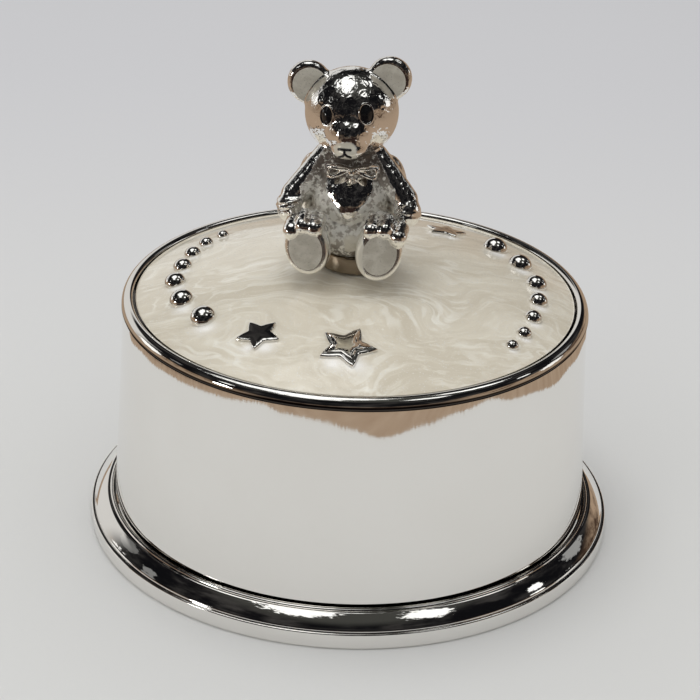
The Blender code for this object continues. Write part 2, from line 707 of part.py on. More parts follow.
def ornaments(root):
    """Beads and stars as separate forms, each rooted this far below the enamel's surface."""
    shapes = []
    for place, radius in bead_places():
        crown = arc((0, 0), (radius, radius * BEAD_HEIGHT_SHARE), 0, 90, 2)
        profile = [(0, -root), (radius, -root)] + crown[:-1] + [(0, radius * BEAD_HEIGHT_SHARE)]
        shapes.append((turned(profile, TINY_SIDES), place))
    for place, radius, turn in star_places():
        shapes.append((star_shape(radius, turn, root), place))
    return gathered(shapes)


def lid_profile():
    """The lid's section: skirt inside the wall, rolled rim, enamel bed, bush hole and underside."""
    skirt = DRUM_TOP_RADIUS - DRUM_WALL - SEAT_GAP
    seat = DRUM_TOP + SEAT_GAP
    bed_drop = ENAMEL_THICKNESS + SEAT_GAP
    bed_radius = ENAMEL_RADIUS + ORNAMENT_RIM_GAP
    hole = BUSH_RADIUS + SEAT_GAP
    belly_centre = (RIM_CREST_RADIUS, RIM_BELLY_HEIGHT)
    crest_centre = (RIM_CREST_RADIUS, ENAMEL_EDGE_HEIGHT)
    outer_reach = (RIM_RADIUS - RIM_CREST_RADIUS, RIM_CREST_HEIGHT - RIM_BELLY_HEIGHT)
    inner_reach = (RIM_CREST_RADIUS - bed_radius, RIM_CREST_HEIGHT - ENAMEL_EDGE_HEIGHT)
    outer = arc(belly_centre, outer_reach, 0, 90, 3)
    inner = arc(crest_centre, inner_reach, 90, 180, 2)
    radii = [bed_radius + (hole - bed_radius) * step / DOME_STEPS for step in range(DOME_STEPS + 1)]
    bed = [(radius, dome_height(radius) - bed_drop) for radius in radii]
    inner_skirt = skirt - LID_SKIRT_WALL
    back = [(min(radius, inner_skirt), height - LID_THICKNESS) for radius, height in reversed(bed)]
    skirt_bottom = seat - LID_SKIRT_DEPTH
    return (
        [(inner_skirt, skirt_bottom), (skirt, skirt_bottom), (skirt, seat), (RIM_SEAT_RADIUS, seat)]
        + outer
        + inner[1:]
        + bed
        + back
    )


def lid(materials):
    casting = piece("lid_casting", turned(lid_profile()), materials["silver_plate"])
    root = ENAMEL_THICKNESS + SEAT_GAP + ORNAMENT_ROOT
    join(casting, piece("lid_ornaments", ornaments(root)))


def enamel_field(materials):
    """The enamel, open round the beads, the stars and the bush."""
    hole = BUSH_RADIUS + SEAT_GAP
    radii = [ENAMEL_RADIUS + (hole - ENAMEL_RADIUS) * step / DOME_STEPS for step in range(DOME_STEPS + 1)]
    top = [(radius, dome_height(radius)) for radius in radii]
    bottom = [(radius, height - ENAMEL_THICKNESS) for radius, height in reversed(top)]
    field = piece("enamel_field", turned(top + bottom), materials["pearl_enamel"])
    reach = ENAMEL_THICKNESS + CUT_OVERRUN
    holes = [
        (rod(radius + ORNAMENT_RIM_GAP, -reach, CUT_OVERRUN, TINY_SIDES), place)
        for place, radius in bead_places()
    ]
    for place, radius, turn in star_places():
        wide = radius + ORNAMENT_RIM_GAP / STAR_WAIST_SHARE
        holes.append((prism(star_outline(wide, turn), -reach, CUT_OVERRUN), place))
    cut(field, piece("enamel_holes", gathered(holes)))


def lid_underside_height(radius):
    return dome_height(radius) - ENAMEL_THICKNESS - SEAT_GAP - LID_THICKNESS


def spindle_bush(materials):
    """The bearing in the lid's middle, with its flange below the casting."""
    flange_top = lid_underside_height(BUSH_FLANGE_RADIUS) - SEAT_GAP
    bore = SPINDLE_RADIUS + RUNNING_GAP
    profile = [
        (bore, flange_top - BUSH_FLANGE_THICKNESS),
        (BUSH_FLANGE_RADIUS, flange_top - BUSH_FLANGE_THICKNESS),
        (BUSH_FLANGE_RADIUS, flange_top),
        (BUSH_RADIUS, flange_top),
        (BUSH_RADIUS, dome_height(BUSH_RADIUS)),
        (bore, dome_height(BUSH_RADIUS)),
    ]
    piece("spindle_bush", turned(profile, SMALL_SIDES), materials["brass"])


# Base: plate, felt and screws


def movement_screw_places():
    """The three screws that hold the bedplate, as shares of its reach from the drum's axis."""
    for along, across in movement_screw_shares:
        reach = BEDPLATE_LEFT if along < 0 else BEDPLATE_END_RADIUS
        depth = BEDPLATE_FRONT if across < 0 else BEDPLATE_BACK
        yield along * reach, across * depth


def base_plate(materials):
    bore = WINDING_SHAFT_RADIUS + SEAT_GAP
    profile = [
        (bore, PLATE_BOTTOM),
        (PLATE_RADIUS, PLATE_BOTTOM),
        (PLATE_RADIUS, PLATE_TOP),
        (bore, PLATE_TOP),
    ]
    plate = piece("base_plate", turned(profile), materials["plated_steel"])
    low, high = PLATE_BOTTOM - CUT_OVERRUN, PLATE_TOP + CUT_OVERRUN
    lug_hole = PLATE_SCREW_RADIUS + SEAT_GAP
    hole = MOVEMENT_SCREW_RADIUS + SEAT_GAP
    seat = MOVEMENT_SCREW_RADIUS * SCREW_HEAD_SHARE + SEAT_GAP
    seat_top = PLATE_BOTTOM + PLATE_THICKNESS / 2
    stepped = [(0, low), (seat, low), (seat, seat_top), (hole, seat_top), (hole, high), (0, high)]
    holes = [(rod(lug_hole, low, high, TINY_SIDES), at(x, y)) for x, y in lug_places()]
    holes += [(turned(stepped, TINY_SIDES), at(x, y)) for x, y in movement_screw_places()]
    cut(plate, piece("base_plate_holes", gathered(holes)))


def base_felt(materials):
    """The felt under the plate, pierced for the key and the plate's screws."""
    top = PLATE_BOTTOM - SEAT_GAP
    bottom = top - FELT_THICKNESS
    edge = PLATE_RADIUS - FELT_MARGIN
    profile = [(FELT_HOLE_RADIUS, bottom), (edge, bottom), (edge, top), (FELT_HOLE_RADIUS, top)]
    felt = piece("base_felt", turned(profile), materials["black_felt"])
    hole = PLATE_SCREW_RADIUS * SCREW_HEAD_SHARE + SEAT_GAP
    holes = [
        (rod(hole, bottom - CUT_OVERRUN, top + CUT_OVERRUN, SMALL_SIDES), at(x, y)) for x, y in lug_places()
    ]
    cut(felt, piece("base_felt_holes", gathered(holes)))


def base_screws(materials):
    for number, (x, y) in enumerate(lug_places(), 1):
        place = at(x, y, PLATE_BOTTOM - SEAT_GAP)
        name = f"base_screw_{number}"
        steel = materials["plated_steel"]
        made = screw(name, PLATE_SCREW_RADIUS, LUG_SCREW_LENGTH, SCREW_HEAD_HEIGHT, place, steel)
        cut_slot(made, PLATE_SCREW_RADIUS * SCREW_HEAD_SHARE, SCREW_HEAD_HEIGHT, place)


def movement_screws(materials):
    """Screws through the plate into the bedplate, their heads sunk under the felt."""
    seat = PLATE_BOTTOM + PLATE_THICKNESS / 2 - SEAT_GAP
    length = BEDPLATE_BOTTOM - seat + MOVEMENT_SCREW_DEPTH
    head_height = seat - PLATE_BOTTOM
    steel = materials["plated_steel"]
    for number, (x, y) in enumerate(movement_screw_places(), 1):
        screw(f"movement_screw_{number}", MOVEMENT_SCREW_RADIUS, length, head_height, at(x, y, seat), steel)


# Movement: bedplate, bearings, comb, cylinder


def bedplate_outline():
    """A plate with rounded corners at the spring's end and an end that follows the drum."""
    left_front = arc(
        (-BEDPLATE_LEFT + BEDPLATE_CORNER, -BEDPLATE_FRONT + BEDPLATE_CORNER),
        (BEDPLATE_CORNER, BEDPLATE_CORNER),
        180,
        270,
        4,
    )
    left_back = arc(
        (-BEDPLATE_LEFT + BEDPLATE_CORNER, BEDPLATE_BACK - BEDPLATE_CORNER),
        (BEDPLATE_CORNER, BEDPLATE_CORNER),
        90,
        180,
        4,
    )
    front_angle = -math.degrees(math.asin(BEDPLATE_FRONT / BEDPLATE_END_RADIUS))
    back_angle = math.degrees(math.asin(BEDPLATE_BACK / BEDPLATE_END_RADIUS))
    end = arc((0, 0), (BEDPLATE_END_RADIUS, BEDPLATE_END_RADIUS), front_angle, back_angle, 8)
    return left_front + end + left_back


def post(start, end, y_low, y_high, top):
    """An upright of the bedplate, from inside the plate up to the crown over its bearing."""
    return block((start, y_low, BEDPLATE_BOTTOM + BEDPLATE_THICKNESS / 2), (end, y_high, top))


def bedplate_forms():
    """The uprights and the rail that are cast with the plate."""
    half = POST_WIDTH / 2
    low_top = CYLINDER_AXIS_HEIGHT + POST_CROWN
    high_top = GOVERNOR_Z + POST_CROWN
    high_back = GOVERNOR_Y + POST_CROWN
    rail_back = COMB_BACK_Y + COMB_RAIL_WIDTH
    rail_top = COMB_BOTTOM - SEAT_GAP
    rail_low = (CYLINDER_START, COMB_BACK_Y, BEDPLATE_BOTTOM + BEDPLATE_THICKNESS / 2)
    return [
        post(INNER_POST_START, INNER_POST_END, -half, half, low_top),
        post(OUTER_POST_START, OUTER_POST_END, -half, high_back, high_top),
        post(END_POST_START, END_POST_END, GOVERNOR_Y - POST_CROWN, high_back, high_top),
        block(rail_low, (CYLINDER_STOP, rail_back, rail_top)),
    ]


def along_x(shape, x, y, z):
    """Places a shape made about Z so that it lies about an axis along X."""
    return shape, at(x, y, z) @ TO_X_AXIS


def comb_screw_places():
    inset = COMB_RAIL_WIDTH / 2
    middle = COMB_BACK_Y + inset
    for x in (CYLINDER_START + inset, CYLINDER_STOP - inset):
        yield x, middle


def bracket_screw_place():
    return WORM_X, BRACKET_BACK - BRACKET_FOOT / 2


def bedplate(materials):
    plate = piece("bedplate", prism(bedplate_outline(), BEDPLATE_BOTTOM, BEDPLATE_TOP), materials["zinc"])
    forms = [(shape, Matrix.Identity(4)) for shape in bedplate_forms()]
    join(plate, piece("bedplate_uprights", gathered(forms)))
    post_bores = (
        (ARBOR_RADIUS, INNER_POST_START, INNER_POST_END, 0, CYLINDER_AXIS_HEIGHT),
        (ARBOR_RADIUS, OUTER_POST_START, OUTER_POST_END, 0, CYLINDER_AXIS_HEIGHT),
        (GOVERNOR_ARBOR_RADIUS, OUTER_POST_START, OUTER_POST_END, GOVERNOR_Y, GOVERNOR_Z),
        (GOVERNOR_ARBOR_RADIUS, END_POST_START, END_POST_END, GOVERNOR_Y, GOVERNOR_Z),
    )
    bores = []
    for radius, start, end, y, z in post_bores:
        bore = rod(radius + RUNNING_GAP, start - END_PLAY / 2, end + END_PLAY / 2, TINY_SIDES)
        bores.append(along_x(bore, 0, y, z))
    low, high = BEDPLATE_BOTTOM - CUT_OVERRUN, BEDPLATE_TOP + CUT_OVERRUN
    bores.append((rod(WINDING_SHAFT_RADIUS + SEAT_GAP, low, high), at(0, 0)))
    hole_top = BEDPLATE_BOTTOM + MOVEMENT_SCREW_DEPTH + SEAT_GAP
    for x, y in movement_screw_places():
        bores.append((rod(MOVEMENT_SCREW_RADIUS + SEAT_GAP, low, hole_top, TINY_SIDES), at(x, y)))
    comb_hole = COMB_SCREW_RADIUS + SEAT_GAP
    for x, y in comb_screw_places():
        depth = COMB_SCREW_LENGTH + SEAT_GAP * 2
        hole = rod(comb_hole, COMB_BOTTOM - depth, COMB_BOTTOM + CUT_OVERRUN, TINY_SIDES)
        bores.append((hole, at(x, y)))
    x, y = bracket_screw_place()
    bores.append((rod(BRACKET_SCREW_RADIUS + SEAT_GAP, low, high, TINY_SIDES), at(x, y)))
    cut(plate, piece("bedplate_bores", gathered(bores)))


def comb_outline():
    """The comb from above: a straight back and one tooth for each note, cut deepest at the bass end."""
    left, right = CYLINDER_START, CYLINDER_STOP
    points = [(left, COMB_BACK_Y), (right, COMB_BACK_Y)]
    slot = NOTE_STEP * COMB_SLOT_SHARE
    taper = NOTE_STEP * COMB_TIP_TAPER_SHARE / 2
    for note in reversed(range(NOTE_COUNT)):
        middle = CYLINDER_START + (note + 1) * NOTE_STEP
        half = (NOTE_STEP - slot) / 2
        depth = COMB_SLOT_LONG + (COMB_SLOT_SHORT - COMB_SLOT_LONG) * note / (NOTE_COUNT - 1)
        root = COMB_TIP_Y - depth
        if note == NOTE_COUNT - 1:
            points.append((right, root))
        points.append((middle + half, root))
        points.append((middle + half - taper, COMB_TIP_Y))
        points.append((middle - half + taper, COMB_TIP_Y))
        points.append((middle - half, root))
        if note == 0:
            points.append((left, root))
    return points


def comb(materials):
    plate = piece("comb", prism(comb_outline(), COMB_BOTTOM, COMB_TOP), materials["comb_steel"])
    hole = COMB_SCREW_RADIUS + SEAT_GAP
    for number, (x, y) in enumerate(comb_screw_places(), 1):
        shape = rod(hole, COMB_BOTTOM - CUT_OVERRUN, COMB_TOP + CUT_OVERRUN, TINY_SIDES)
        cut(plate, piece(f"comb_hole_{number}", shape, None, at(x, y)))
        over = at(x, y, COMB_TOP + SEAT_GAP) @ Matrix.Rotation(math.pi, 4, "X")
        length = COMB_SCREW_LENGTH + COMB_THICKNESS
        steel = materials["plated_steel"]
        screw(f"comb_screw_{number}", COMB_SCREW_RADIUS, length, SCREW_HEAD_HEIGHT, over, steel)


def pin_places():
    """Angle and place along the axis of each pin, a few for every note."""
    slot_turn = math.tau / PIN_SLOTS
    for note in range(NOTE_COUNT):
        for step in pin_slot_steps:
            slot = (step + note * 5) % PIN_SLOTS
            yield (slot + 0.5) * slot_turn, CYLINDER_START + (note + 1) * NOTE_STEP


def pinned_cylinder(materials, axis):
    """The hollow cylinder with an end wall at each side and its pins standing out."""
    bore = ARBOR_RADIUS + RUNNING_GAP
    inner = CYLINDER_RADIUS - CYLINDER_WALL
    profile = [
        (bore, CYLINDER_START),
        (CYLINDER_RADIUS, CYLINDER_START),
        (CYLINDER_RADIUS, CYLINDER_STOP),
        (inner, CYLINDER_STOP),
        (inner, CYLINDER_START + CYLINDER_END),
        (bore, CYLINDER_START + CYLINDER_END),
    ]
    place = at(0, 0, CYLINDER_AXIS_HEIGHT) @ TO_X_AXIS
    shape = turned(profile, MIDDLE_SIDES)
    cylinder = piece("pinned_cylinder", shape, materials["brass"], place, axis)
    half = PIN_WIDTH / 2
    pins = []
    for angle, along in pin_places():
        low = (CYLINDER_RADIUS - CYLINDER_WALL / 2, -half, -half)
        pin = block(low, (CYLINDER_RADIUS + PIN_LENGTH, half, half))
        pins.append((pin, Matrix.Translation((0, 0, along)) @ Matrix.Rotation(angle, 4, "Z")))
    join(cylinder, piece("cylinder_pins", gathered(pins), None, place, axis))


def cylinder_arbor(materials, axis):
    """The arbor with the drive pinion cut from it, meshed with the crown teeth above."""
    place = at(0, 0, CYLINDER_AXIS_HEIGHT) @ TO_X_AXIS
    shaft = rod(ARBOR_RADIUS, PINION_START, OUTER_POST_END)
    arbor = piece("cylinder_arbor", shaft, materials["plated_steel"], place, axis)
    half_tooth = math.pi / DRIVE_PINION_TEETH
    outline = gear_outline(DRIVE_PINION_TEETH, DRIVE_MODULE, 2 * QUARTER_TURN + half_tooth)
    join(arbor, piece("drive_pinion", prism(outline, PINION_START, PINION_END), None, place, axis))


def cylinder_end_gear(materials, axis):
    """The gear at the cylinder's far end, a tooth of it on the line to the governor's arbor."""
    place = at(0, 0, CYLINDER_AXIS_HEIGHT) @ TO_X_AXIS
    outline = gear_outline(END_GEAR_TEETH, GOVERNOR_MODULE, GOVERNOR_LEAN + QUARTER_TURN)
    shape = prism(outline, END_GEAR_START, END_GEAR_END)
    gear = piece("cylinder_end_gear", shape, materials["brass"], place, axis)
    bore = rod(ARBOR_RADIUS + RUNNING_GAP, END_GEAR_START - END_PLAY, END_GEAR_END + END_PLAY, TINY_SIDES)
    cut(gear, piece("cylinder_end_gear_bore", bore, None, place, axis))


# Spring, winding arbor, great wheel and click


def spring_housing(materials):
    """The cup over the mainspring, open below where it stands on the bedplate."""
    bottom = BEDPLATE_TOP + SEAT_GAP
    inner = HOUSING_RADIUS - HOUSING_WALL
    bore = WINDING_CORE_RADIUS + SEAT_GAP
    flange = HOUSING_RADIUS + HOUSING_FLANGE
    profile = [
        (inner, bottom),
        (flange, bottom),
        (flange, bottom + HOUSING_FLANGE),
        (HOUSING_RADIUS, bottom + HOUSING_FLANGE),
        (HOUSING_RADIUS, HOUSING_TOP),
        (bore, HOUSING_TOP),
        (bore, HOUSING_TOP - HOUSING_WALL),
        (inner, HOUSING_TOP - HOUSING_WALL),
    ]
    piece("spring_housing", turned(profile, MIDDLE_SIDES), materials["brass"])


def mainspring(materials):
    """A flat strip wound from the arbor out to the housing's wall."""
    bottom = BEDPLATE_TOP + SPRING_HEIGHT_MARGIN
    top = HOUSING_TOP - HOUSING_WALL - SPRING_HEIGHT_MARGIN
    first = WINDING_CORE_RADIUS + SEAT_GAP
    last = HOUSING_RADIUS - HOUSING_WALL - SEAT_GAP - SPRING_STRIP
    steps = SPRING_TURNS * SPRING_STEPS_PER_TURN
    rings = []
    for step in range(steps + 1):
        angle = math.tau * step / SPRING_STEPS_PER_TURN
        radius = first + (last - first) * step / steps
        inner = polar(radius, angle)
        outer = polar(radius + SPRING_STRIP, angle)
        rings.append([(*inner, bottom), (*outer, bottom), (*outer, top), (*inner, top)])
    piece("mainspring", lofted(rings), materials["spring_steel"])


def winding_arbor(materials, axis):
    """The shaft from the key up through the spring, with its thicker core inside the housing."""
    core_bottom = BEDPLATE_TOP + SEAT_GAP
    top = HOUSING_TOP + SEAT_GAP
    profile = [
        (0, KEY_WING_BOTTOM + KEY_HUB_RADIUS),
        (WINDING_SHAFT_RADIUS, KEY_WING_BOTTOM + KEY_HUB_RADIUS),
        (WINDING_SHAFT_RADIUS, core_bottom),
        (WINDING_CORE_RADIUS, core_bottom),
        (WINDING_CORE_RADIUS, top),
        (WINDING_SHAFT_RADIUS, top),
        (WINDING_SHAFT_RADIUS, CROWN_ROOT_HEIGHT - SEAT_GAP),
        (0, CROWN_ROOT_HEIGHT - SEAT_GAP),
    ]
    piece("winding_arbor", turned(profile, SMALL_SIDES), materials["plated_steel"], None, axis)


def ratchet_heights():
    bottom = HOUSING_TOP + 2 * SEAT_GAP
    return bottom, bottom + RATCHET_THICKNESS


def ratchet_wheel(materials, axis):
    """Saw teeth on the winding arbor that let the key turn one way against the great wheel."""
    step = math.tau / RATCHET_TEETH
    outline = []
    for tooth in range(RATCHET_TEETH):
        outline.append(polar(RATCHET_RADIUS - RATCHET_DEPTH, tooth * step))
        outline.append(polar(RATCHET_RADIUS, tooth * step + step * RATCHET_UNDERCUT_SHARE))
    bottom, top = ratchet_heights()
    wheel = piece("ratchet_wheel", prism(outline, bottom, top), materials["plated_steel"], None, axis)
    bore = rod(WINDING_SHAFT_RADIUS + RUNNING_GAP, bottom - CUT_OVERRUN, top + CUT_OVERRUN)
    cut(wheel, piece("ratchet_wheel_bore", bore, None, None, axis))


def crown_tooth(angle):
    """One tooth that hangs from the great wheel's rim and narrows towards its tip."""
    step = math.tau / CROWN_TEETH
    rings = []
    for height, width in (
        (CROWN_ROOT_HEIGHT + CROWN_DISC_THICKNESS / 2, TOOTH_ROOT_SHARE),
        (CROWN_ROOT_HEIGHT, TOOTH_ROOT_SHARE),
        (CROWN_TIP_HEIGHT, TOOTH_TIP_SHARE),
    ):
        sides = ((PINION_START, -1), (PINION_END, -1), (PINION_END, 1), (PINION_START, 1))
        rings.append([(*polar(radius, angle + side * width * step / 2), height) for radius, side in sides])
    return lofted(rings)


def great_wheel(materials, axis):
    """The crown wheel that the spring drives, its teeth facing down to the cylinder's pinion."""
    rim = PINION_END + SEAT_GAP
    bore = SPINDLE_RADIUS + RUNNING_GAP
    hub_top = CROWN_TOP_HEIGHT + CROWN_HUB_HEIGHT
    profile = [
        (bore, CROWN_ROOT_HEIGHT),
        (rim, CROWN_ROOT_HEIGHT),
        (rim, CROWN_TOP_HEIGHT),
        (CROWN_HUB_RADIUS, CROWN_TOP_HEIGHT),
        (CROWN_HUB_RADIUS, hub_top),
        (bore, hub_top),
    ]
    wheel = piece("great_wheel", turned(profile, CROWN_TEETH), materials["brass"], None, axis)
    step = math.tau / CROWN_TEETH
    teeth = [(crown_tooth(tooth * step), Matrix.Identity(4)) for tooth in range(CROWN_TEETH)]
    join(wheel, piece("crown_teeth", gathered(teeth), None, None, axis))


def click_spring(materials, axis):
    """The springy pawl under the great wheel, its nose behind a ratchet tooth."""
    bottom, top = ratchet_heights()
    nose = polar(RATCHET_RADIUS - RATCHET_DEPTH / 2, math.radians(-4))
    heel_x = (CROWN_HUB_RADIUS + PINION_START) / 2
    outline = [
        (nose[0] + SEAT_GAP, nose[1] - CLICK_THICKNESS),
        (heel_x, nose[1] - CLICK_THICKNESS - CLICK_WIDTH),
        (heel_x + CLICK_RIVET_RADIUS, nose[1] - CLICK_THICKNESS - CLICK_WIDTH),
        (heel_x + CLICK_RIVET_RADIUS, nose[1] + CLICK_THICKNESS),
        (heel_x, nose[1] + CLICK_THICKNESS - CLICK_WIDTH),
        (nose[0] + SEAT_GAP, nose[1]),
    ]
    click = piece("click_spring", prism(outline, bottom, top), materials["spring_steel"], None, axis)
    foot = block(
        (heel_x - CLICK_RIVET_RADIUS, nose[1] - CLICK_THICKNESS - CLICK_WIDTH, bottom),
        (heel_x + CLICK_RIVET_RADIUS, nose[1] + CLICK_THICKNESS, CROWN_ROOT_HEIGHT - SEAT_GAP),
    )
    join(click, piece("click_spring_foot", foot, None, None, axis))


# Spindle, plinth and key


def spindle(materials, axis):
    """The upright shaft from the great wheel through the lid, the plinth and into the bear."""
    collar_bottom = CROWN_TOP_HEIGHT + CROWN_HUB_HEIGHT + SEAT_GAP
    profile = [
        (0, CROWN_ROOT_HEIGHT),
        (SPINDLE_RADIUS, CROWN_ROOT_HEIGHT),
        (SPINDLE_RADIUS, collar_bottom),
        (SPINDLE_COLLAR_RADIUS, collar_bottom),
        (SPINDLE_COLLAR_RADIUS, collar_bottom + SPINDLE_COLLAR_HEIGHT),
        (SPINDLE_RADIUS, collar_bottom + SPINDLE_COLLAR_HEIGHT),
        (SPINDLE_RADIUS, PLINTH_TOP + SPINDLE_TENON),
        (0, PLINTH_TOP + SPINDLE_TENON),
    ]
    piece("spindle", turned(profile, SMALL_SIDES), materials["plated_steel"], None, axis)


def plinth(materials, axis):
    """The round seat under the bear."""
    bore = SPINDLE_RADIUS + RUNNING_GAP
    profile = [
        (bore, PLINTH_BOTTOM),
        (PLINTH_RADIUS, PLINTH_BOTTOM),
        (PLINTH_RADIUS, PLINTH_TOP - PLINTH_CHAMFER),
        (PLINTH_RADIUS - PLINTH_CHAMFER, PLINTH_TOP),
        (bore, PLINTH_TOP),
    ]
    piece("bear_plinth", turned(profile, MIDDLE_SIDES), materials["silver_plate"], None, axis)


def winding_key(materials, axis):
    """A butterfly key threaded on the arbor, with an eye in each wing."""
    height = KEY_WING_TOP - KEY_WING_BOTTOM
    half_height = height / 2
    middle = KEY_WING_BOTTOM + half_height
    wing_end = KEY_WING_SPAN - half_height
    outline = arc((wing_end, middle), (half_height, half_height), -90, 90, 8)
    outline += arc((0, KEY_WING_TOP), (KEY_HUB_RADIUS, half_height / 3), 0, -180, 4)
    outline += arc((-wing_end, middle), (half_height, half_height), 90, 270, 8)
    outline += arc((0, KEY_WING_BOTTOM), (KEY_HUB_RADIUS, half_height / 3), 180, 0, 4)
    upright = Matrix.Rotation(math.radians(90), 4, "X")
    half = KEY_WING_THICKNESS / 2
    key = piece("winding_key", prism(outline, -half, half), materials["plated_steel"], upright, axis)
    hub = rod(KEY_HUB_RADIUS, KEY_WING_BOTTOM + half_height / 2, KEY_HUB_TOP)
    join(key, piece("winding_key_hub", hub, None, None, axis))
    thread_bottom = KEY_WING_BOTTOM + KEY_HUB_RADIUS - SEAT_GAP
    thread = rod(WINDING_SHAFT_RADIUS + RUNNING_GAP, thread_bottom, KEY_HUB_TOP + CUT_OVERRUN)
    cut(key, piece("winding_key_thread", thread, None, None, axis))
    eyes = [
        (rod(KEY_EYE_RADIUS, -half - CUT_OVERRUN, half + CUT_OVERRUN), upright @ at(side * wing_end, middle))
        for side in (-1, 1)
    ]
    cut(key, piece("winding_key_eyes", gathered(eyes), None, None, axis))


# Governor


def governor_arbor(materials, axis):
    """The small arbor with its pinion, meshed with the cylinder's end gear."""
    place = at(0, GOVERNOR_Y, GOVERNOR_Z) @ TO_X_AXIS
    shaft = rod(GOVERNOR_ARBOR_RADIUS, END_GEAR_START, END_POST_END, TINY_SIDES)
    arbor = piece("governor_arbor", shaft, materials["plated_steel"], place, axis)
    half_tooth = math.pi / GOVERNOR_PINION_TEETH
    phase = GOVERNOR_LEAN + QUARTER_TURN + math.pi + half_tooth
    outline = gear_outline(GOVERNOR_PINION_TEETH, GOVERNOR_MODULE, phase)
    pinion = prism(outline, END_GEAR_START, END_GEAR_END)
    join(arbor, piece("governor_pinion", pinion, None, place, axis))


def worm_wheel(materials, axis):
    """The wheel that drives the worm, a tooth of it level with the worm's middle."""
    place = at(0, GOVERNOR_Y, GOVERNOR_Z) @ TO_X_AXIS
    outline = gear_outline(WORM_WHEEL_TEETH, WORM_WHEEL_MODULE, QUARTER_TURN)
    shape = prism(outline, WORM_WHEEL_START, WORM_WHEEL_END)
    wheel = piece("worm_wheel", shape, materials["white_nylon"], place, axis)
    low, high = WORM_WHEEL_START - END_PLAY, WORM_WHEEL_END + END_PLAY
    bore = rod(GOVERNOR_ARBOR_RADIUS + RUNNING_GAP, low, high, TINY_SIDES)
    cut(wheel, piece("worm_wheel_bore", bore, None, place, axis))


def worm_thread(start_turn):
    """One start of the worm's right-hand thread about the local Z axis, its middle at height zero."""
    turns = WORM_LENGTH / (WORM_THREAD_STEP * WORM_STARTS)
    steps = round(turns * WORM_STEPS_PER_TURN)
    half = WORM_THREAD_WIDTH / 2
    crest = WORM_PITCH_RADIUS + ADDENDUM_SHARE * WORM_WHEEL_MODULE
    root = WORM_CORE_RADIUS * TOOTH_ROOT_SHARE
    section = [(root, -half), (crest, -half / 2), (crest, half / 2), (root, half)]
    rings = []
    for step in range(steps + 1):
        angle = start_turn + math.tau * turns * step / steps
        middle = WORM_LENGTH * (step / steps - 0.5)
        rings.append([(*polar(radius, angle), middle + rise) for radius, rise in section])
    return lofted(rings)


def governor_worm(materials, axis):
    """The upright worm on its thin shaft, pivoted between the bracket's arms."""
    place = at(WORM_X, WORM_Y)
    half = WORM_LENGTH / 2 + WORM_THREAD_WIDTH
    profile = [
        (0, BRACKET_ARM_BOTTOM),
        (GOVERNOR_ARBOR_RADIUS, BRACKET_ARM_BOTTOM),
        (GOVERNOR_ARBOR_RADIUS, GOVERNOR_Z - half),
        (WORM_CORE_RADIUS, GOVERNOR_Z - half),
        (WORM_CORE_RADIUS, GOVERNOR_Z + half),
        (GOVERNOR_ARBOR_RADIUS, GOVERNOR_Z + half),
        (GOVERNOR_ARBOR_RADIUS, BRACKET_ARM_TOP + BRACKET_THICKNESS),
        (0, BRACKET_ARM_TOP + BRACKET_THICKNESS),
    ]
    steel = materials["plated_steel"]
    worm = piece("governor_worm", turned(profile, WORM_STEPS_PER_TURN), steel, place, axis)
    # The wheel's tooth lies towards -Y at mid height, so the thread's gap faces that way there
    middle_turn = math.pi * WORM_LENGTH / (WORM_THREAD_STEP * WORM_STARTS)
    gap_turn = -QUARTER_TURN - middle_turn + math.pi / WORM_STARTS
    for number in range(WORM_STARTS):
        thread = worm_thread(gap_turn + number * math.tau / WORM_STARTS)
        tool = piece(f"worm_thread_{number}", thread, None, at(WORM_X, WORM_Y, GOVERNOR_Z), axis)
        join(worm, tool)


def air_brake(materials, axis):
    """The two-bladed fly that the air slows."""
    half = FLY_THICKNESS / 2
    blade = block((-FLY_RADIUS, -half, FLY_BOTTOM), (FLY_RADIUS, half, FLY_TOP))
    place = at(WORM_X, WORM_Y)
    fly = piece("air_brake", blade, materials["white_nylon"], place, axis)
    hub_radius = GOVERNOR_ARBOR_RADIUS + RUNNING_GAP + FLY_THICKNESS
    join(fly, piece("air_brake_hub", rod(hub_radius, FLY_BOTTOM, FLY_TOP, TINY_SIDES), None, place, axis))
    bore = rod(GOVERNOR_ARBOR_RADIUS + RUNNING_GAP, FLY_BOTTOM - SEAT_GAP, FLY_TOP + SEAT_GAP, TINY_SIDES)
    cut(fly, piece("air_brake_bore", bore, None, place, axis))


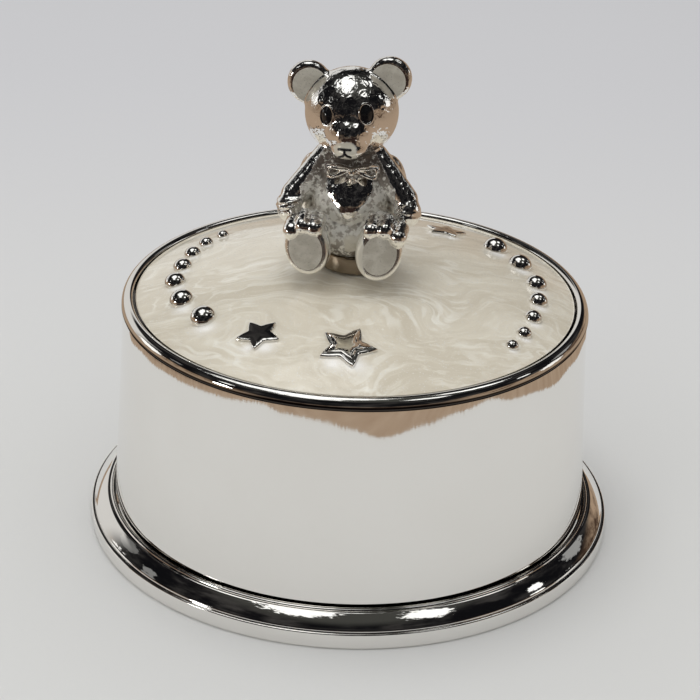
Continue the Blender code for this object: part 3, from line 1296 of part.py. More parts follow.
def governor_bracket(materials):
    """A folded strip: foot on the bedplate, back behind the fly and an arm over each pivot."""
    foot_bottom = BEDPLATE_TOP + SEAT_GAP
    front = WORM_Y - BRACKET_WIDTH / 2
    back = BRACKET_BACK
    strip = BRACKET_THICKNESS
    arm_low, arm_high = BRACKET_ARM_BOTTOM, BRACKET_ARM_TOP
    outline = [
        (back - BRACKET_FOOT, foot_bottom),
        (back + strip, foot_bottom),
        (back + strip, arm_high + strip),
        (front, arm_high + strip),
        (front, arm_high),
        (back, arm_high),
        (back, arm_low + strip),
        (front, arm_low + strip),
        (front, arm_low),
        (back, arm_low),
        (back, foot_bottom + strip),
        (back - BRACKET_FOOT, foot_bottom + strip),
    ]
    # The outline's axes are Y and Z, raised along X
    sideways = Matrix(((0, 0, 1, 0), (1, 0, 0, 0), (0, 1, 0, 0), (0, 0, 0, 1)))
    half = BRACKET_WIDTH / 2
    shape = prism(outline, WORM_X - half, WORM_X + half)
    bracket = piece("governor_bracket", shape, materials["plated_steel"], sideways)
    pivot = GOVERNOR_ARBOR_RADIUS + RUNNING_GAP
    bores = [
        (rod(pivot, height - SEAT_GAP, height + strip + SEAT_GAP, TINY_SIDES), at(WORM_X, WORM_Y))
        for height in (arm_low, arm_high)
    ]
    x, y = bracket_screw_place()
    low, high = foot_bottom - SEAT_GAP, foot_bottom + strip + SEAT_GAP
    bores.append((rod(BRACKET_SCREW_RADIUS + SEAT_GAP, low, high, TINY_SIDES), at(x, y)))
    cut(bracket, piece("governor_bracket_bores", gathered(bores)))
    over = at(x, y, foot_bottom + strip + SEAT_GAP) @ Matrix.Rotation(math.pi, 4, "X")
    length = strip + SEAT_GAP + BEDPLATE_THICKNESS
    screw("bracket_screw", BRACKET_SCREW_RADIUS, length, SCREW_HEAD_HEIGHT, over, materials["plated_steel"])


# Bear


def bear_frame():
    """From the bear's own upright frame to its place on the plinth."""
    turn = Matrix.Rotation(BEAR_TURN, 4, "Z")
    lean = Matrix.Rotation(BEAR_LEAN, 4, "Y")
    return at(BEAR_OFFSET, 0, PLINTH_TOP) @ lean @ turn


def bear_point(share, side=1):
    return Vector((side * share[0], share[1], share[2])) * BEAR_HEIGHT


def ball(centre, radii):
    """An ellipsoid."""
    shape = bmesh.new()
    bmesh.ops.create_icosphere(shape, subdivisions=3, radius=1)
    return shape, Matrix.Translation(centre) @ Matrix.Diagonal((*radii, 1))


def limb(start, end, start_radius, end_radius):
    """A tapered limb with round ends, as a turned shape laid between two points."""
    reach = (end - start).length
    profile = arc((0, 0), (start_radius, start_radius), -90, 0, 4)
    profile += arc((0, reach), (end_radius, end_radius), 0, 90, 4)
    profile[0] = (0, profile[0][1])
    profile[-1] = (0, profile[-1][1])
    turn = (end - start).to_track_quat("Z", "Y").to_matrix().to_4x4()
    return turned(profile, SMALL_SIDES), Matrix.Translation(start) @ turn


def facing_frame(place, side, out_degrees, up_degrees, splay_degrees):
    """A frame whose Z axis faces forwards, turned outwards, tilted up and splayed, for ears and soles."""
    outwards = Matrix.Rotation(math.radians(side * out_degrees), 4, "Z")
    forwards = Matrix.Rotation(math.radians(90 - up_degrees), 4, "X")
    splay = Matrix.Rotation(math.radians(-side * splay_degrees), 4, "Z")
    return Matrix.Translation(bear_point(place, side)) @ outwards @ forwards @ splay


def head_frame():
    """A frame in the head's middle, tilted with it."""
    return Matrix.Translation(bear_point(head_place_share)) @ Matrix.Rotation(HEAD_TILT, 4, "Y")


def ear_frame(side):
    return head_frame() @ facing_frame(ear_place_share, side, *ear_turn_degrees)


def sole_frame(side):
    return facing_frame(sole_place_share, side, *sole_turn_degrees)


def rounded_disc(width, height, depth):
    """A flat-faced disc with rounded edges, its front face at height zero."""
    edge = depth / 3
    profile = [(0, -depth)] + arc((1 - edge / width, -depth + edge), (edge / width, edge), -90, 0, 3)
    profile += arc((1 - edge / width, -edge), (edge / width, edge), 0, 90, 3) + [(0, 0)]
    return turned(profile, MIDDLE_SIDES), Matrix.Diagonal((width, height, 1, 1))


def bear_ball(centre, radii, side=1):
    """An ellipsoid of the bear from its shares."""
    return ball(bear_point(centre, side), [share * BEAR_HEIGHT for share in radii])


def bear_forms():
    """Every rounded form of the bear, in its own frame."""
    forms = [bear_ball(centre, radii) for centre, radii in bear_form_shares.values()]
    for centre, radii in head_form_shares.values():
        shape, place = bear_ball(centre, radii)
        forms.append((shape, head_frame() @ place))
    for side in (-1, 1):
        forms += [bear_ball(centre, radii, side) for centre, radii in bear_side_form_shares.values()]
        for start, end, start_share, end_share in bear_limb_shares.values():
            ends = bear_point(start, side), bear_point(end, side)
            forms.append(limb(*ends, start_share * BEAR_HEIGHT, end_share * BEAR_HEIGHT))
        ear, ear_size = rounded_disc(EAR_RADIUS, EAR_RADIUS, EAR_THICKNESS)
        forms.append((ear, ear_frame(side) @ ear_size))
        foot, foot_size = rounded_disc(SOLE_WIDTH, SOLE_HEIGHT, FOOT_DEPTH)
        forms.append((foot, sole_frame(side) @ foot_size))
    return forms


def eye_frame(side):
    """A frame on the head's surface, its Z axis facing out along the head's normal."""
    radii = head_form_shares["skull"][1]
    across = eye_place_share[0] / radii[0]
    upward = eye_place_share[1] / radii[2]
    forward = math.sqrt(1 - across**2 - upward**2)
    surface = (eye_place_share[0], -radii[1] * forward, eye_place_share[1])
    normal = Vector((side * across / radii[0], -forward / radii[1], upward / radii[2]))
    turn = normal.to_track_quat("Z", "Y").to_matrix().to_4x4()
    return head_frame() @ Matrix.Translation(bear_point(surface, side)) @ turn


def inlay_tool(frame, width, height, depth):
    """A cutter that sinks an oval seat below a face."""
    shape = rod(1, -depth, CUT_OVERRUN, SMALL_SIDES)
    return shape, frame @ Matrix.Diagonal((width, height, 1, 1))


def inlay(name, frame, width, height, material, axis, relief=0):
    """An oval enamel fill that lies in its seat, its face level with the metal or a little proud."""
    bottom = -INLAY_DEPTH + INLAY_GAP
    crown = [(1, 0)]
    if relief:
        crown = arc((0, 0), (1, relief), 0, 90, 3)[:-1] + [(0, relief)]
    profile = [(0, bottom), (1, bottom)] + crown
    if not relief:
        profile.append((0, 0))
    shape = turned(profile, SMALL_SIDES)
    bmesh.ops.scale(shape, verts=shape.verts, vec=(width, height, 1))
    return piece(name, shape, material, bear_frame() @ frame, axis)


def bear(materials, axis):
    """One skin over all forms, thinned to few facets, with its seats cut into it."""
    place = bear_frame()
    figure = piece("bear", gathered(bear_forms()), materials["cast_silver"], place, axis)
    skin = figure.modifiers.new("skin", "REMESH")
    skin.mode = "VOXEL"
    skin.voxel_size = SKIN_STEP_SHARE * BEAR_HEIGHT
    soften = figure.modifiers.new("soften", "SMOOTH")
    soften.iterations = SKIN_SMOOTH_STEPS
    thin = figure.modifiers.new("thin", "DECIMATE")
    thin.ratio = SKIN_FACET_SHARE
    thin.use_collapse_triangulate = True
    seat = rod(PLINTH_RADIUS + SEAT_GAP, PLINTH_BOTTOM, PLINTH_TOP + SEAT_GAP, MIDDLE_SIDES)
    cut(figure, piece("bear_seat", seat, None, None, axis))
    socket = rod(SPINDLE_RADIUS + RUNNING_GAP, PLINTH_BOTTOM, PLINTH_TOP + SPINDLE_TENON + SEAT_GAP)
    cut(figure, piece("bear_socket", socket, None, None, axis))
    seats = []
    grey, black = materials["grey_enamel"], materials["black_enamel"]
    ear = EAR_RADIUS * EAR_INLAY_SHARE
    width, height = SOLE_WIDTH * SOLE_INLAY_SHARE, SOLE_HEIGHT * SOLE_INLAY_SHARE
    for side, hand in ((-1, "right"), (1, "left")):
        seats.append(inlay_tool(ear_frame(side), ear + INLAY_GAP, ear + INLAY_GAP, INLAY_DEPTH))
        seats.append(inlay_tool(sole_frame(side), width + INLAY_GAP, height + INLAY_GAP, INLAY_DEPTH))
        seats.append(inlay_tool(eye_frame(side), EYE_WIDTH + INLAY_GAP, EYE_HEIGHT + INLAY_GAP, EYE_SEAT))
        inlay(f"ear_enamel_{hand}", ear_frame(side), ear, ear, grey, axis)
        inlay(f"sole_enamel_{hand}", sole_frame(side), width, height, grey, axis)
        inlay(f"eye_{hand}", eye_frame(side), EYE_WIDTH, EYE_HEIGHT, black, axis, EYE_RELIEF)
    cut(figure, piece("bear_inlay_seats", gathered(seats), None, place, axis))


def main():
    clear_scene()
    materials = finishes()
    turntable = axis_empty("turntable_axis", (0, 0, 0))
    key = axis_empty("key_axis", (0, 0, 0), turntable)
    cylinder = axis_empty("cylinder_axis", (0, 0, CYLINDER_AXIS_HEIGHT))
    governor = axis_empty("governor_axis", (0, GOVERNOR_Y, GOVERNOR_Z))
    fly = axis_empty("fly_axis", (WORM_X, WORM_Y, 0))
    for make in (foot_ring, drum_wall, lid, enamel_field, spindle_bush):
        make(materials)
    for make in (base_plate, base_felt, base_screws, movement_screws):
        make(materials)
    for make in (bedplate, comb, spring_housing, mainspring, governor_bracket):
        make(materials)
    for make in (great_wheel, click_spring, spindle, plinth, bear):
        make(materials, turntable)
    for make in (winding_arbor, ratchet_wheel, winding_key):
        make(materials, key)
    for make in (pinned_cylinder, cylinder_arbor, cylinder_end_gear):
        make(materials, cylinder)
    for make in (governor_arbor, worm_wheel):
        make(materials, governor)
    for make in (governor_worm, air_brake):
        make(materials, fly)


main()
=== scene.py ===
"""The musical box dressed for its picture: polished silver drum, pearl enamel lid and the seated bear."""

import json
import math

import bmesh
import bpy
import numpy as np
from mathutils import Matrix, Vector
from mathutils.bvhtree import BVHTree


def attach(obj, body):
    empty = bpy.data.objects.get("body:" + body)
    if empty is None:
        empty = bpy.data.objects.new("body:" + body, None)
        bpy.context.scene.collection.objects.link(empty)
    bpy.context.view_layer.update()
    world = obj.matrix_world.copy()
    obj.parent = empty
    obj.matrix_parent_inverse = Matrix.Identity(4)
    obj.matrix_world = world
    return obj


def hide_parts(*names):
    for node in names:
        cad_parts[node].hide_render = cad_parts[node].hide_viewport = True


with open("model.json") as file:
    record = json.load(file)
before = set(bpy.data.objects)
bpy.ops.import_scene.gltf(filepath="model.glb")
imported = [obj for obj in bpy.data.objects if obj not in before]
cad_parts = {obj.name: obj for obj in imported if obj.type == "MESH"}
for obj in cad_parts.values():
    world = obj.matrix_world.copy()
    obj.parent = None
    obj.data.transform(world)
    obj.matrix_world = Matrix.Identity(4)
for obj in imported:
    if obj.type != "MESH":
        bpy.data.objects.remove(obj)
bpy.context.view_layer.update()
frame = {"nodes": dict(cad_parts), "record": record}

MM = 0.001

# Camera: lens, place and turn worked out from the box's outline
SENSOR, PICTURE, FOCAL_PIXELS = 36, 700, 2223
CAMERA_RISE = math.radians(26.32)
CAMERA_ROLL = math.radians(1.90)
CAMERA_SHIFT_RIGHT = -0.0084
CAMERA_SHIFT_UP = -0.7024
CAMERA_REACH = 10.0
CAMERA_UNIT = 42 * MM

# Case, in millimetres
DRUM_TOP_RADIUS, DRUM_TOP = 41.8, 42.3
DRUM_FLARE, DRUM_BOTTOM = 1.8, 6.1
DRUM_WALL, WALL_FLARE_POWER = 1.0, 1.15
WALL_BANDS, WALL_ROLL = 20, 0.15
FOOT_INNER = 39.6
COLLAR_BOTTOM, COLLAR_TOP, COLLAR_GAP = 5.8, 13.4, 0.3
LUG_RING, LUG_RADIUS, LUG_BOTTOM, LUG_TOP = 36.8, 3.1, 10.9, 13.1
ENAMEL_RADIUS, ENAMEL_EDGE, DOME_RISE = 39.3, 43.8, 7.0
ENAMEL_BALL = (ENAMEL_RADIUS**2 + DOME_RISE**2) / (2 * DOME_RISE)
APEX = ENAMEL_EDGE + DOME_RISE
# Depths under the enamel's face: its own underside, then the casting's bed and underside
ENAMEL_DEPTH, BED_DEPTH, CASTING_DEPTH = 0.8, 1.1, 2.3
BED_RADIUS, BUSH_HOLE, BED_RINGS = 39.5, 2.9, 12
FIELD_RINGS, FIELD_SIDES = 120, 400
PLINTH_BOTTOM = APEX + 0.3
PLINTH_TOP = PLINTH_BOTTOM + 3.1
PLINTH_HOLE, PLINTH_RADIUS = 1.7, 7.0
ROUND_SIDES = 224
# Heights between which the crease under the rim is painted near black as painted shade
RIM_SHADE_BOTTOM, RIM_SHADE_TOP = 42.30, 43.15

# Sections in millimetres: points, and arcs by centre, radii, first angle, last angle and steps
foot_section = (
    (FOOT_INNER, 1.2), (42.0, 1.2), (42.0, 0.25),  # recess underneath
    ((42.25, 0.25), (0.25, 0.25), 180, 270, 4),  # inner edge
    ((47.75, 0.35), (0.35, 0.35), -90, 0, 6), (48.13, 1.5),  # outer edge
    ((47.80, 2.72), (0.30, 0.28), 0, 84, 6), (47.55, 2.96),  # lip
    ((46.92, 3.04), (0.60, 0.60), 0, 40, 8),  # crease
    ((38.24, -4.22), (11.9, 11.9), 40.5, 54, 14),  # broad slope
    ((44.92, 4.96), (0.55, 0.55), 55, 100, 8),  # shoulder
    ((44.24, 5.42), (0.34, 0.34), 14, 180, 12), (43.85, 5.72),  # ridge
)
rim_section = (
    (BED_RADIUS, 39.1), (40.5, 39.1), (40.5, 42.34),  # skirt inside the wall
    (41.70, 42.34), (41.72, 42.73),  # seat on the wall
    ((40.58, 42.68), (1.42, 1.72), 4, 90, 26),  # roll outside
    ((40.58, 43.70), (0.78, 0.70), 90, 172, 16),  # roll inside
)

# Beads: sizes as shares of the largest, then turns round the lid and ring as a share of the enamel's radius
bead_sizes = (0.42, 0.52, 0.62, 0.71, 0.81, 0.93, 1.0)
LARGEST_BEAD = 2.1
BEAD_SKIRT, BEAD_LIFT, BEAD_FLATNESS, BEAD_ROOT = 0.26, 0.18, 0.90, 0.9
left_beads = (
    (0.3970, 0.801), (0.4205, 0.810), (0.4480, 0.807), (0.4786, 0.806),
    (0.5109, 0.821), (0.5501, 0.814), (0.5925, 0.795),
)
right_beads = (
    (0.8920, 0.884), (0.9149, 0.867), (0.9437, 0.846), (0.9765, 0.835),
    (1.0101, 0.829), (1.0503, 0.803), (1.0902, 0.775),
)
STAR_WAIST, STAR_CURVE, STAR_SIDES = 0.56, 1.7, 120
# A star's rings from the bottom up: share of its outline and height
star_rings = (
    (1.0, -0.8), (1.0, 0.42), (0.985, 0.53), (0.95, 0.61), (0.90, 0.65),
    (0.80, 0.675), (0.60, 0.70), (0.30, 0.72), (0.02, 0.725),
)
# The stars: radius, turns, ring and their own turn
stars = (
    (5.2, 0.7436, 0.722, -0.0172),
    (4.0, 0.6570, 0.743, -0.0767),
    (5.2, 0.2420, 0.722, 0.4828),
    (4.0, 0.1454, 0.690, 0.4233),
)
# Light thrown on the enamel beside beads and stars: how far right, how far nearer, its spread
bead_glows = ((0.25, 1.35, 0.62),)
star_glows = ((0.30, 0.80, 0.26), (-0.45, 0.70, 0.20))
# The enamel's rise at an ornament, its reach, and the largest gap that is told apart
DRAWN_UP, DRAWN_OUT, FARTHEST_GAP = 0.18, 0.45, 6.0

# Bear: its height and offset in millimetres, turns in degrees, forms as shares of its height
BEAR_HEIGHT = 34.0
BEAR_OFFSET = -0.8
BEAR_TURN, BEAR_LEAN = -8, -2.5
FACE_TURN, HEAD_TILT = 2.5, -4
head_place = (0.012, -0.035, 0.744)
SKULL = (0.240, 0.232, 0.230)
ear_place, ear_turn = (0.206, -0.018, 0.164), (0, 4, 0)
EAR_RADIUS, EAR_DEPTH, EAR_EDGE = 3.81, 2.38, 0.8
sole_places = {-1: (0.186, -0.362, 0.108), 1: (0.194, -0.362, 0.098)}
sole_turns = {-1: (5, 8, 12), 1: (12, 8, 16)}
sole_sizes = {-1: (3.90, 4.66), 1: (3.98, 4.86)}
SOLE_DEPTH, SOLE_EDGE = 3.4, 0.6
# Round forms, each a middle and radii: the body's, the head's from its own middle, one on each side
body_balls = (
    ((0.0, 0.005, 0.150), (0.212, 0.190, 0.160)),
    ((0.0, -0.128, 0.094), (0.165, 0.112, 0.110)),
    ((0.0, -0.034, 0.270), (0.200, 0.172, 0.190)),
    ((0.006, -0.080, 0.268), (0.130, 0.146, 0.122)),
    ((0.0, 0.0, 0.420), (0.172, 0.136, 0.150)),
    ((0.0, -0.006, 0.540), (0.130, 0.120, 0.090)),
)
head_balls = (
    ((0.0, 0.0, 0.0), SKULL),
    ((0.0, -0.150, -0.056), (0.122, 0.134, 0.112)),
    ((0.0, -0.158, -0.006), (0.094, 0.092, 0.064)),
    ((0.0, -0.198, -0.119), (0.094, 0.104, 0.055)),
)
side_balls = (
    ((0.196, 0.020, 0.310), (0.092, 0.090, 0.185)),
    ((0.310, -0.116, 0.238), (0.066, 0.078, 0.080)),
)
# Arms and legs: both ends, then the radius at each
side_limbs = (
    ((0.122, 0.0, 0.490), (0.290, -0.085, 0.295), 0.072, 0.068),
    ((0.128, -0.050, 0.122), (0.196, -0.240, 0.118), 0.122, 0.112),
)
toe_places = {
    -1: ((0.262, 0.204), (0.204, 0.232), (0.142, 0.222)),
    1: ((0.284, 0.190), (0.216, 0.228), (0.146, 0.226)),
}
TOE_BACK, TOE_FRONT, TOE_DROP, TOE_RADII = -0.235, -0.322, 0.012, (0.047, 0.046)
eye_place = (0.100, 0.056)
# The cuffs: their middle, their height on each hand, and the drop and reach of the two rings of each
CUFF_OUT, CUFF_FORWARD, CUFF_TILT = 0.304, -0.114, 10
cuff_heights = {-1: 0.292, 1: 0.262}
cuff_rings = ((0.0, 0.074), (0.026, 0.077))
# The bow: its place, and the radii of its knot, of the two ridges of a wing and of a wing's tip
bow_place = (0.030, -0.176, 0.470)
BOW_KNOT, BOW_RIDGE, BOW_TIP = (0.020, 0.034, 0.026), (0.060, 0.030, 0.015), (0.014, 0.024, 0.032)
BOW_RIDGE_OUT, BOW_RIDGE_LIFT, BOW_TIP_OUT, BOW_TILT = 0.072, 0.019, 0.128, 8
MOUTH_HEIGHT = -0.100
STROKE_RADIUS = 0.24
# The mouth's strokes on the muzzle, seen from the front: places across and up
mouth_strokes = (
    ((-0.044, 0.002), (-0.022, 0.003), (-0.002, 0.002), (0.016, 0.000)),
    ((-0.014, 0.002), (-0.014, -0.020)),
    ((-0.014, -0.018), (-0.024, -0.030), (-0.044, -0.038)),
    ((-0.013, -0.018), (-0.002, -0.029), (0.014, -0.038)),
)
# Enamel fills in millimetres: half width, half height and crown
EAR_FILL, SOLE_FILL, EYE_FILL = (3.08, 3.08, 0.10), (2.98, 3.64, 0.12), (1.16, 1.62, 0.46)

# Room, as mirrors see it: lamps by bearing from the front, rise, spread (degrees) and power
lamp_places = (
    (-132, 75, 20, 1.0), (-40, 71, 11, 0.9), (126, 61, 9, 1.0), (-118, 27, 6, 0.10), (-98, 29, 4, 0.16),
    (-66, 33, 4, 0.9), (96, 32, 4, 0.9), (124, 24, 7, 0.22), (-110, 9, 10, 0.8), (106, 10, 9, 0.7),
    (54, 60, 8, 0.9),
)
# One small bright lamp low on the left, which lights a point in the eyes: bearing, rise, spread
BRIGHT_LAMP = (-62, 7, 5)
WALL_BEHIND_RISE = 27
# The table's near edge in mirrors, in millimetres: its reach in front, its bend towards the sides and
# its reach behind; then how much nearer it comes at each bearing
EDGE_REACH, EDGE_BEND, EDGE_REACH_BEHIND = 135.0, 0.0022, 142
brown_edge = (
    (-150, -6.0), (-131, -3.5), (-112, -3.4), (-91, -0.6), (-70, 0.8), (-54, 1.0), (-37, 0.0), (-27, 2.2),
    (-12, 3.2), (0, 5.0), (12, 7.8), (30, 4.4), (44, 2.0), (59, -0.8), (70, 1.4), (96, 2.4), (114, -1.4),
    (136, -6.0), (150, -6.0),
)
# Added to those lengths, which are then divided, for a ramp from 0 to 1
EDGE_SHIFT, EDGE_SPAN = 6.0, 16.0
TABLE_REACH = 4
TABLE_TONE, BACKDROP_TONE = (0.70, 0.70, 0.685), (0.63, 0.63, 0.645)
LAMP_TONE, ROOM_TONE = (1.35, 1.36, 1.34), (0.66, 0.66, 0.66)


# Shaders


class Socket:
    """A shader socket that takes part in arithmetic: each operator adds one Math node."""

    def __init__(self, tree, socket):
        self.tree = tree
        self.socket = socket

    def worked(self, operation, *values):
        node = self.tree.nodes.new("ShaderNodeMath")
        node.operation = operation
        for place, value in zip(node.inputs, values):
            plug(self.tree, value, place)
        return Socket(self.tree, node.outputs[0])

    def __add__(self, other):
        return self.worked("ADD", self, other)

    def __radd__(self, other):
        return self.worked("ADD", other, self)

    def __sub__(self, other):
        return self.worked("SUBTRACT", self, other)

    def __rsub__(self, other):
        return self.worked("SUBTRACT", other, self)

    def __mul__(self, other):
        return self.worked("MULTIPLY", self, other)

    def __rmul__(self, other):
        return self.worked("MULTIPLY", other, self)

    def __truediv__(self, other):
        return self.worked("DIVIDE", self, other)

    def __rtruediv__(self, other):
        return self.worked("DIVIDE", other, self)

    def __pow__(self, other):
        return self.worked("POWER", self, other)


def plug(tree, value, place):
    if isinstance(value, Socket):
        tree.links.new(value.socket, place)
    elif isinstance(value, tuple) and len(value) == 3 and place.type == "RGBA":
        place.default_value = (*value, 1)
    else:
        place.default_value = value


class Tree:
    """A node tree that is written as expressions."""

    def __init__(self, tree):
        self.tree = tree
        for node in list(tree.nodes):
            tree.nodes.remove(node)

    def node(self, kind, settings=None, inputs=None, output=0):
        """Any node: its settings first, then its inputs by name or number, then one of its outputs."""
        made = self.tree.nodes.new("ShaderNode" + kind)
        for name, value in (settings or {}).items():
            setattr(made, name, value)
        for name, value in (inputs or {}).items():
            plug(self.tree, value, made.inputs[name])
        return Socket(self.tree, made.outputs[output]) if made.outputs else None

    def ramp(self, factor, stops):
        """A number that eases from stop to stop, each a place and a value."""
        made = self.tree.nodes.new("ShaderNodeValToRGB")
        made.color_ramp.interpolation = "EASE"
        while len(made.color_ramp.elements) < len(stops):
            made.color_ramp.elements.new(0.5)
        for element, (place, value) in zip(made.color_ramp.elements, stops):
            element.position = place
            element.color = (value, value, value, 1)
        plug(self.tree, factor, made.inputs[0])
        return Socket(self.tree, made.outputs[0])

    def step(self, value, low, high):
        """A smooth step from 0 below low to 1 above high."""
        return self.node("MapRange", {"interpolation_type": "SMOOTHSTEP"}, {0: value, 1: low, 2: high})

    def mix(self, factor, first, second):
        """One colour over another."""
        return self.node("Mix", {"data_type": "RGBA"}, {0: factor, 6: first, 7: second}, 2)

    def split(self, vector):
        first = self.node("SeparateXYZ", None, {0: vector})
        return [Socket(self.tree, output) for output in first.socket.node.outputs]

    def place(self, scale=(1, 1, 1), turn=(0, 0, 0)):
        """Object coordinates, turned and scaled by a Mapping node."""
        inputs = {"Vector": self.node("TexCoord", None, None, 3), "Rotation": turn, "Scale": scale}
        return self.node("Mapping", None, inputs)

    def place_in_mm(self):
        return self.place(scale=(1 / MM, 1 / MM, 1 / MM))

    def pulled(self, vector, drift, reach):
        """A place that is pulled along by a colour noise."""
        pull = self.node("VectorMath", {"operation": "SCALE"}, {0: drift, "Scale": reach})
        return self.node("VectorMath", {"operation": "ADD"}, {0: vector, 1: pull})

    def bearing(self, x, y):
        """Degrees from the front towards the right."""
        return x.worked("ARCTAN2", x, 0 - y) * (180 / math.pi)

    def kept(self, name):
        """A value that the piece keeps on its points."""
        return self.node("Attribute", {"attribute_name": name}, None, 2)

    def noise(self, vector, scale, detail=2.0, roughness=0.5, distortion=0.0, colour=False):
        inputs = dict(Vector=vector, Scale=scale, Detail=detail, Roughness=roughness, Distortion=distortion)
        return self.node("TexNoise", None, inputs, 1 if colour else 0)

    def flakes(self, vector, scale):
        """Two random numbers for each small cell."""
        cells = self.node("TexVoronoi", None, {"Vector": vector, "Scale": scale}, 1)
        return self.split(cells)[:2]

    def bump(self, height, distance, strength):
        return self.node("Bump", None, {"Height": height, "Distance": distance, "Strength": strength})

    def is_glossy(self):
        """1 where a mirror looks, 0 elsewhere."""
        return self.node("LightPath", None, None, 3)

    def surface(self, **inputs):
        """A Principled shader on the material's output; underscores in names stand for spaces."""
        named = {name.replace("_", " "): value for name, value in inputs.items()}
        shader = self.node("BsdfPrincipled", None, named)
        self.node("OutputMaterial", None, {"Surface": shader})


def finish(name):
    """An empty material and its tree."""
    material = bpy.data.materials.new(name)
    material.use_nodes = True
    return material, Tree(material.node_tree)


def silver_plate_finish():
    """Mirror-bright silver plate: faint haze, hairline rubs, tiny dents, and painted shade in the crease
    under the lid's rim.
    """
    material, tree = finish("silver_plate_finish")
    where = tree.place()
    haze = tree.noise(where, 60, 3)
    rub = tree.noise(tree.place(scale=(1, 1, 9), turn=(0.1, 0.05, 0.3)), 900, 3, 0.6)
    dents = tree.step(tree.noise(where, 260, 1), 0.70, 0.80)
    height = tree.split(tree.place_in_mm())[2]
    # Painted shade: a near-black band in the crease under the lid's rim, set by height
    above = tree.step(height + haze * 0.1, RIM_SHADE_BOTTOM, RIM_SHADE_BOTTOM + 0.06)
    rim_shade = above * (1 - tree.step(height + haze * 0.3, RIM_SHADE_TOP, RIM_SHADE_TOP + 0.20))
    clean = tree.mix(haze, (0.865, 0.845, 0.81), (0.91, 0.895, 0.87))
    tree.surface(
        Base_Color=tree.mix(rim_shade, clean, (0.045, 0.038, 0.034)),
        Metallic=1.0,
        Roughness=0.012 + haze * 0.012 + rub * 0.016,
        Normal=tree.bump(haze * 0.6 + rub * 0.02 - dents * 0.05, 0.00003, 0.35),
    )
    return material


def cast_silver_finish():
    """Silver over a casting: hammered and bright where high, painted shade in hollows and towards the neck
    and seat, pale at the mouth.
    """
    material, tree = finish("cast_silver_finish")
    hollow, smooth, neck_seat_shade = tree.kept("hollow"), tree.kept("smooth"), tree.kept("neck_seat_shade")
    where = tree.place()
    pebbles = tree.noise(where, 1100, 5, 0.66)
    hammered = tree.noise(where, 1050, 1.5, 0.5, 0.5)
    cloud = tree.noise(where, 330, 4, 0.62)
    grain = tree.step(tree.kept("grain") + (cloud - 0.5) * 1.3 + (pebbles - 0.5) * 0.7, 0.34, 0.56)
    plate = tree.step(tree.kept("plate") + (cloud - 0.5) * 1.1 + (pebbles - 0.5) * 0.5, 0.30, 0.75)
    blotch = tree.step(cloud * 0.22 + pebbles * 0.78 - neck_seat_shade * 0.08, 0.445, 0.515)
    # Painted shade: the grainy skin darkens towards the neck under the head and at the seat between the legs
    dull = tree.mix(neck_seat_shade, (0.50, 0.46, 0.40), (0.15, 0.125, 0.105))
    pale = tree.mix(blotch, dull, (0.90, 0.88, 0.81))
    body = tree.mix(grain, (0.93, 0.915, 0.89), pale)
    body = tree.mix(smooth, body, (0.97, 0.955, 0.91))
    # Painted shade: hollows and creases go dark brown, with a noisy edge
    crease_shade = tree.step(hollow * 0.85 + pebbles * 0.45 + grain * neck_seat_shade * 0.15, 0.50, 0.95)
    shaded_in_creases = tree.mix(crease_shade, body, (0.16, 0.135, 0.11))
    polished = (1 - grain) * (1 - smooth)
    tree.surface(
        Base_Color=tree.mix(plate, shaded_in_creases, (0.70, 0.66, 0.56)),
        Metallic=1 - grain * 0.52 * (1 - plate) - plate * 0.72,
        Roughness=0.035 + grain * 0.24 + crease_shade * 0.14 + smooth * 0.22,
        Normal=tree.bump(pebbles * grain * 2.6 + hammered * polished * 0.62, 0.00030, 0.6),
    )
    return material


def pearl_enamel_finish():
    """Cream pearl enamel: mica drawn out in curling streaks under a clear glossy face, with fine glints."""
    material, tree = finish("pearl_enamel_finish")
    where = tree.place()
    drift = tree.noise(where, 26, 2, colour=True)
    curl = tree.noise(where, 75, 2, colour=True)
    warped = tree.pulled(tree.pulled(where, drift, 0.040), curl, 0.011)
    inputs = {"Vector": warped, "Rotation": (0, 0, 0.32), "Scale": (1, 4.0, 1)}
    drawn = tree.node("Mapping", None, inputs)
    broad = tree.noise(drawn, 44, 3, 0.55, 0.4)
    fine = tree.noise(drawn, 150, 4, 0.62, 0.8)
    gap, glow = tree.kept("gap"), tree.kept("glow")
    flow = broad * 30 + gap * (1 - tree.step(gap, 1.0, 4.0)) * 3.2
    waves = flow.worked("SINE", flow) * 0.5 + 0.5
    threads = tree.step(waves, 0.62, 1.0) * tree.step(tree.noise(where, 70, 2), 0.42, 0.60)
    streaks = tree.step(broad * 0.6 + fine * 0.4, 0.36, 0.66)
    shine, tilt = tree.flakes(where, 5200)
    glint = tree.step(shine, 0.93, 0.99)
    cream = tree.mix(streaks, (0.645, 0.585, 0.468), (0.765, 0.712, 0.592))
    milk = tree.mix(threads * 0.48 + tree.step(fine, 0.53, 0.70) * 0.35, cream, (0.900, 0.875, 0.785))
    sparks = tree.step(tree.noise(where, 2600, 2, 0.7), 0.62, 0.72)
    lit = tree.mix(glow * 0.85 + glow * sparks * 0.3 + sparks * 0.22, milk, (1.0, 0.985, 0.95))
    tree.surface(
        Base_Color=tree.mix(glint * 0.5, lit, (0.95, 0.94, 0.90)),
        Metallic=0.04,
        Roughness=0.42 - streaks * 0.10 - glint * 0.2,
        Normal=tree.bump(broad * 0.9 + fine * 0.35 + waves * 0.06 + tilt * 0.02, 0.00045, 0.55),
        Coat_Weight=0.85,
        Coat_Roughness=0.05,
    )
    return material


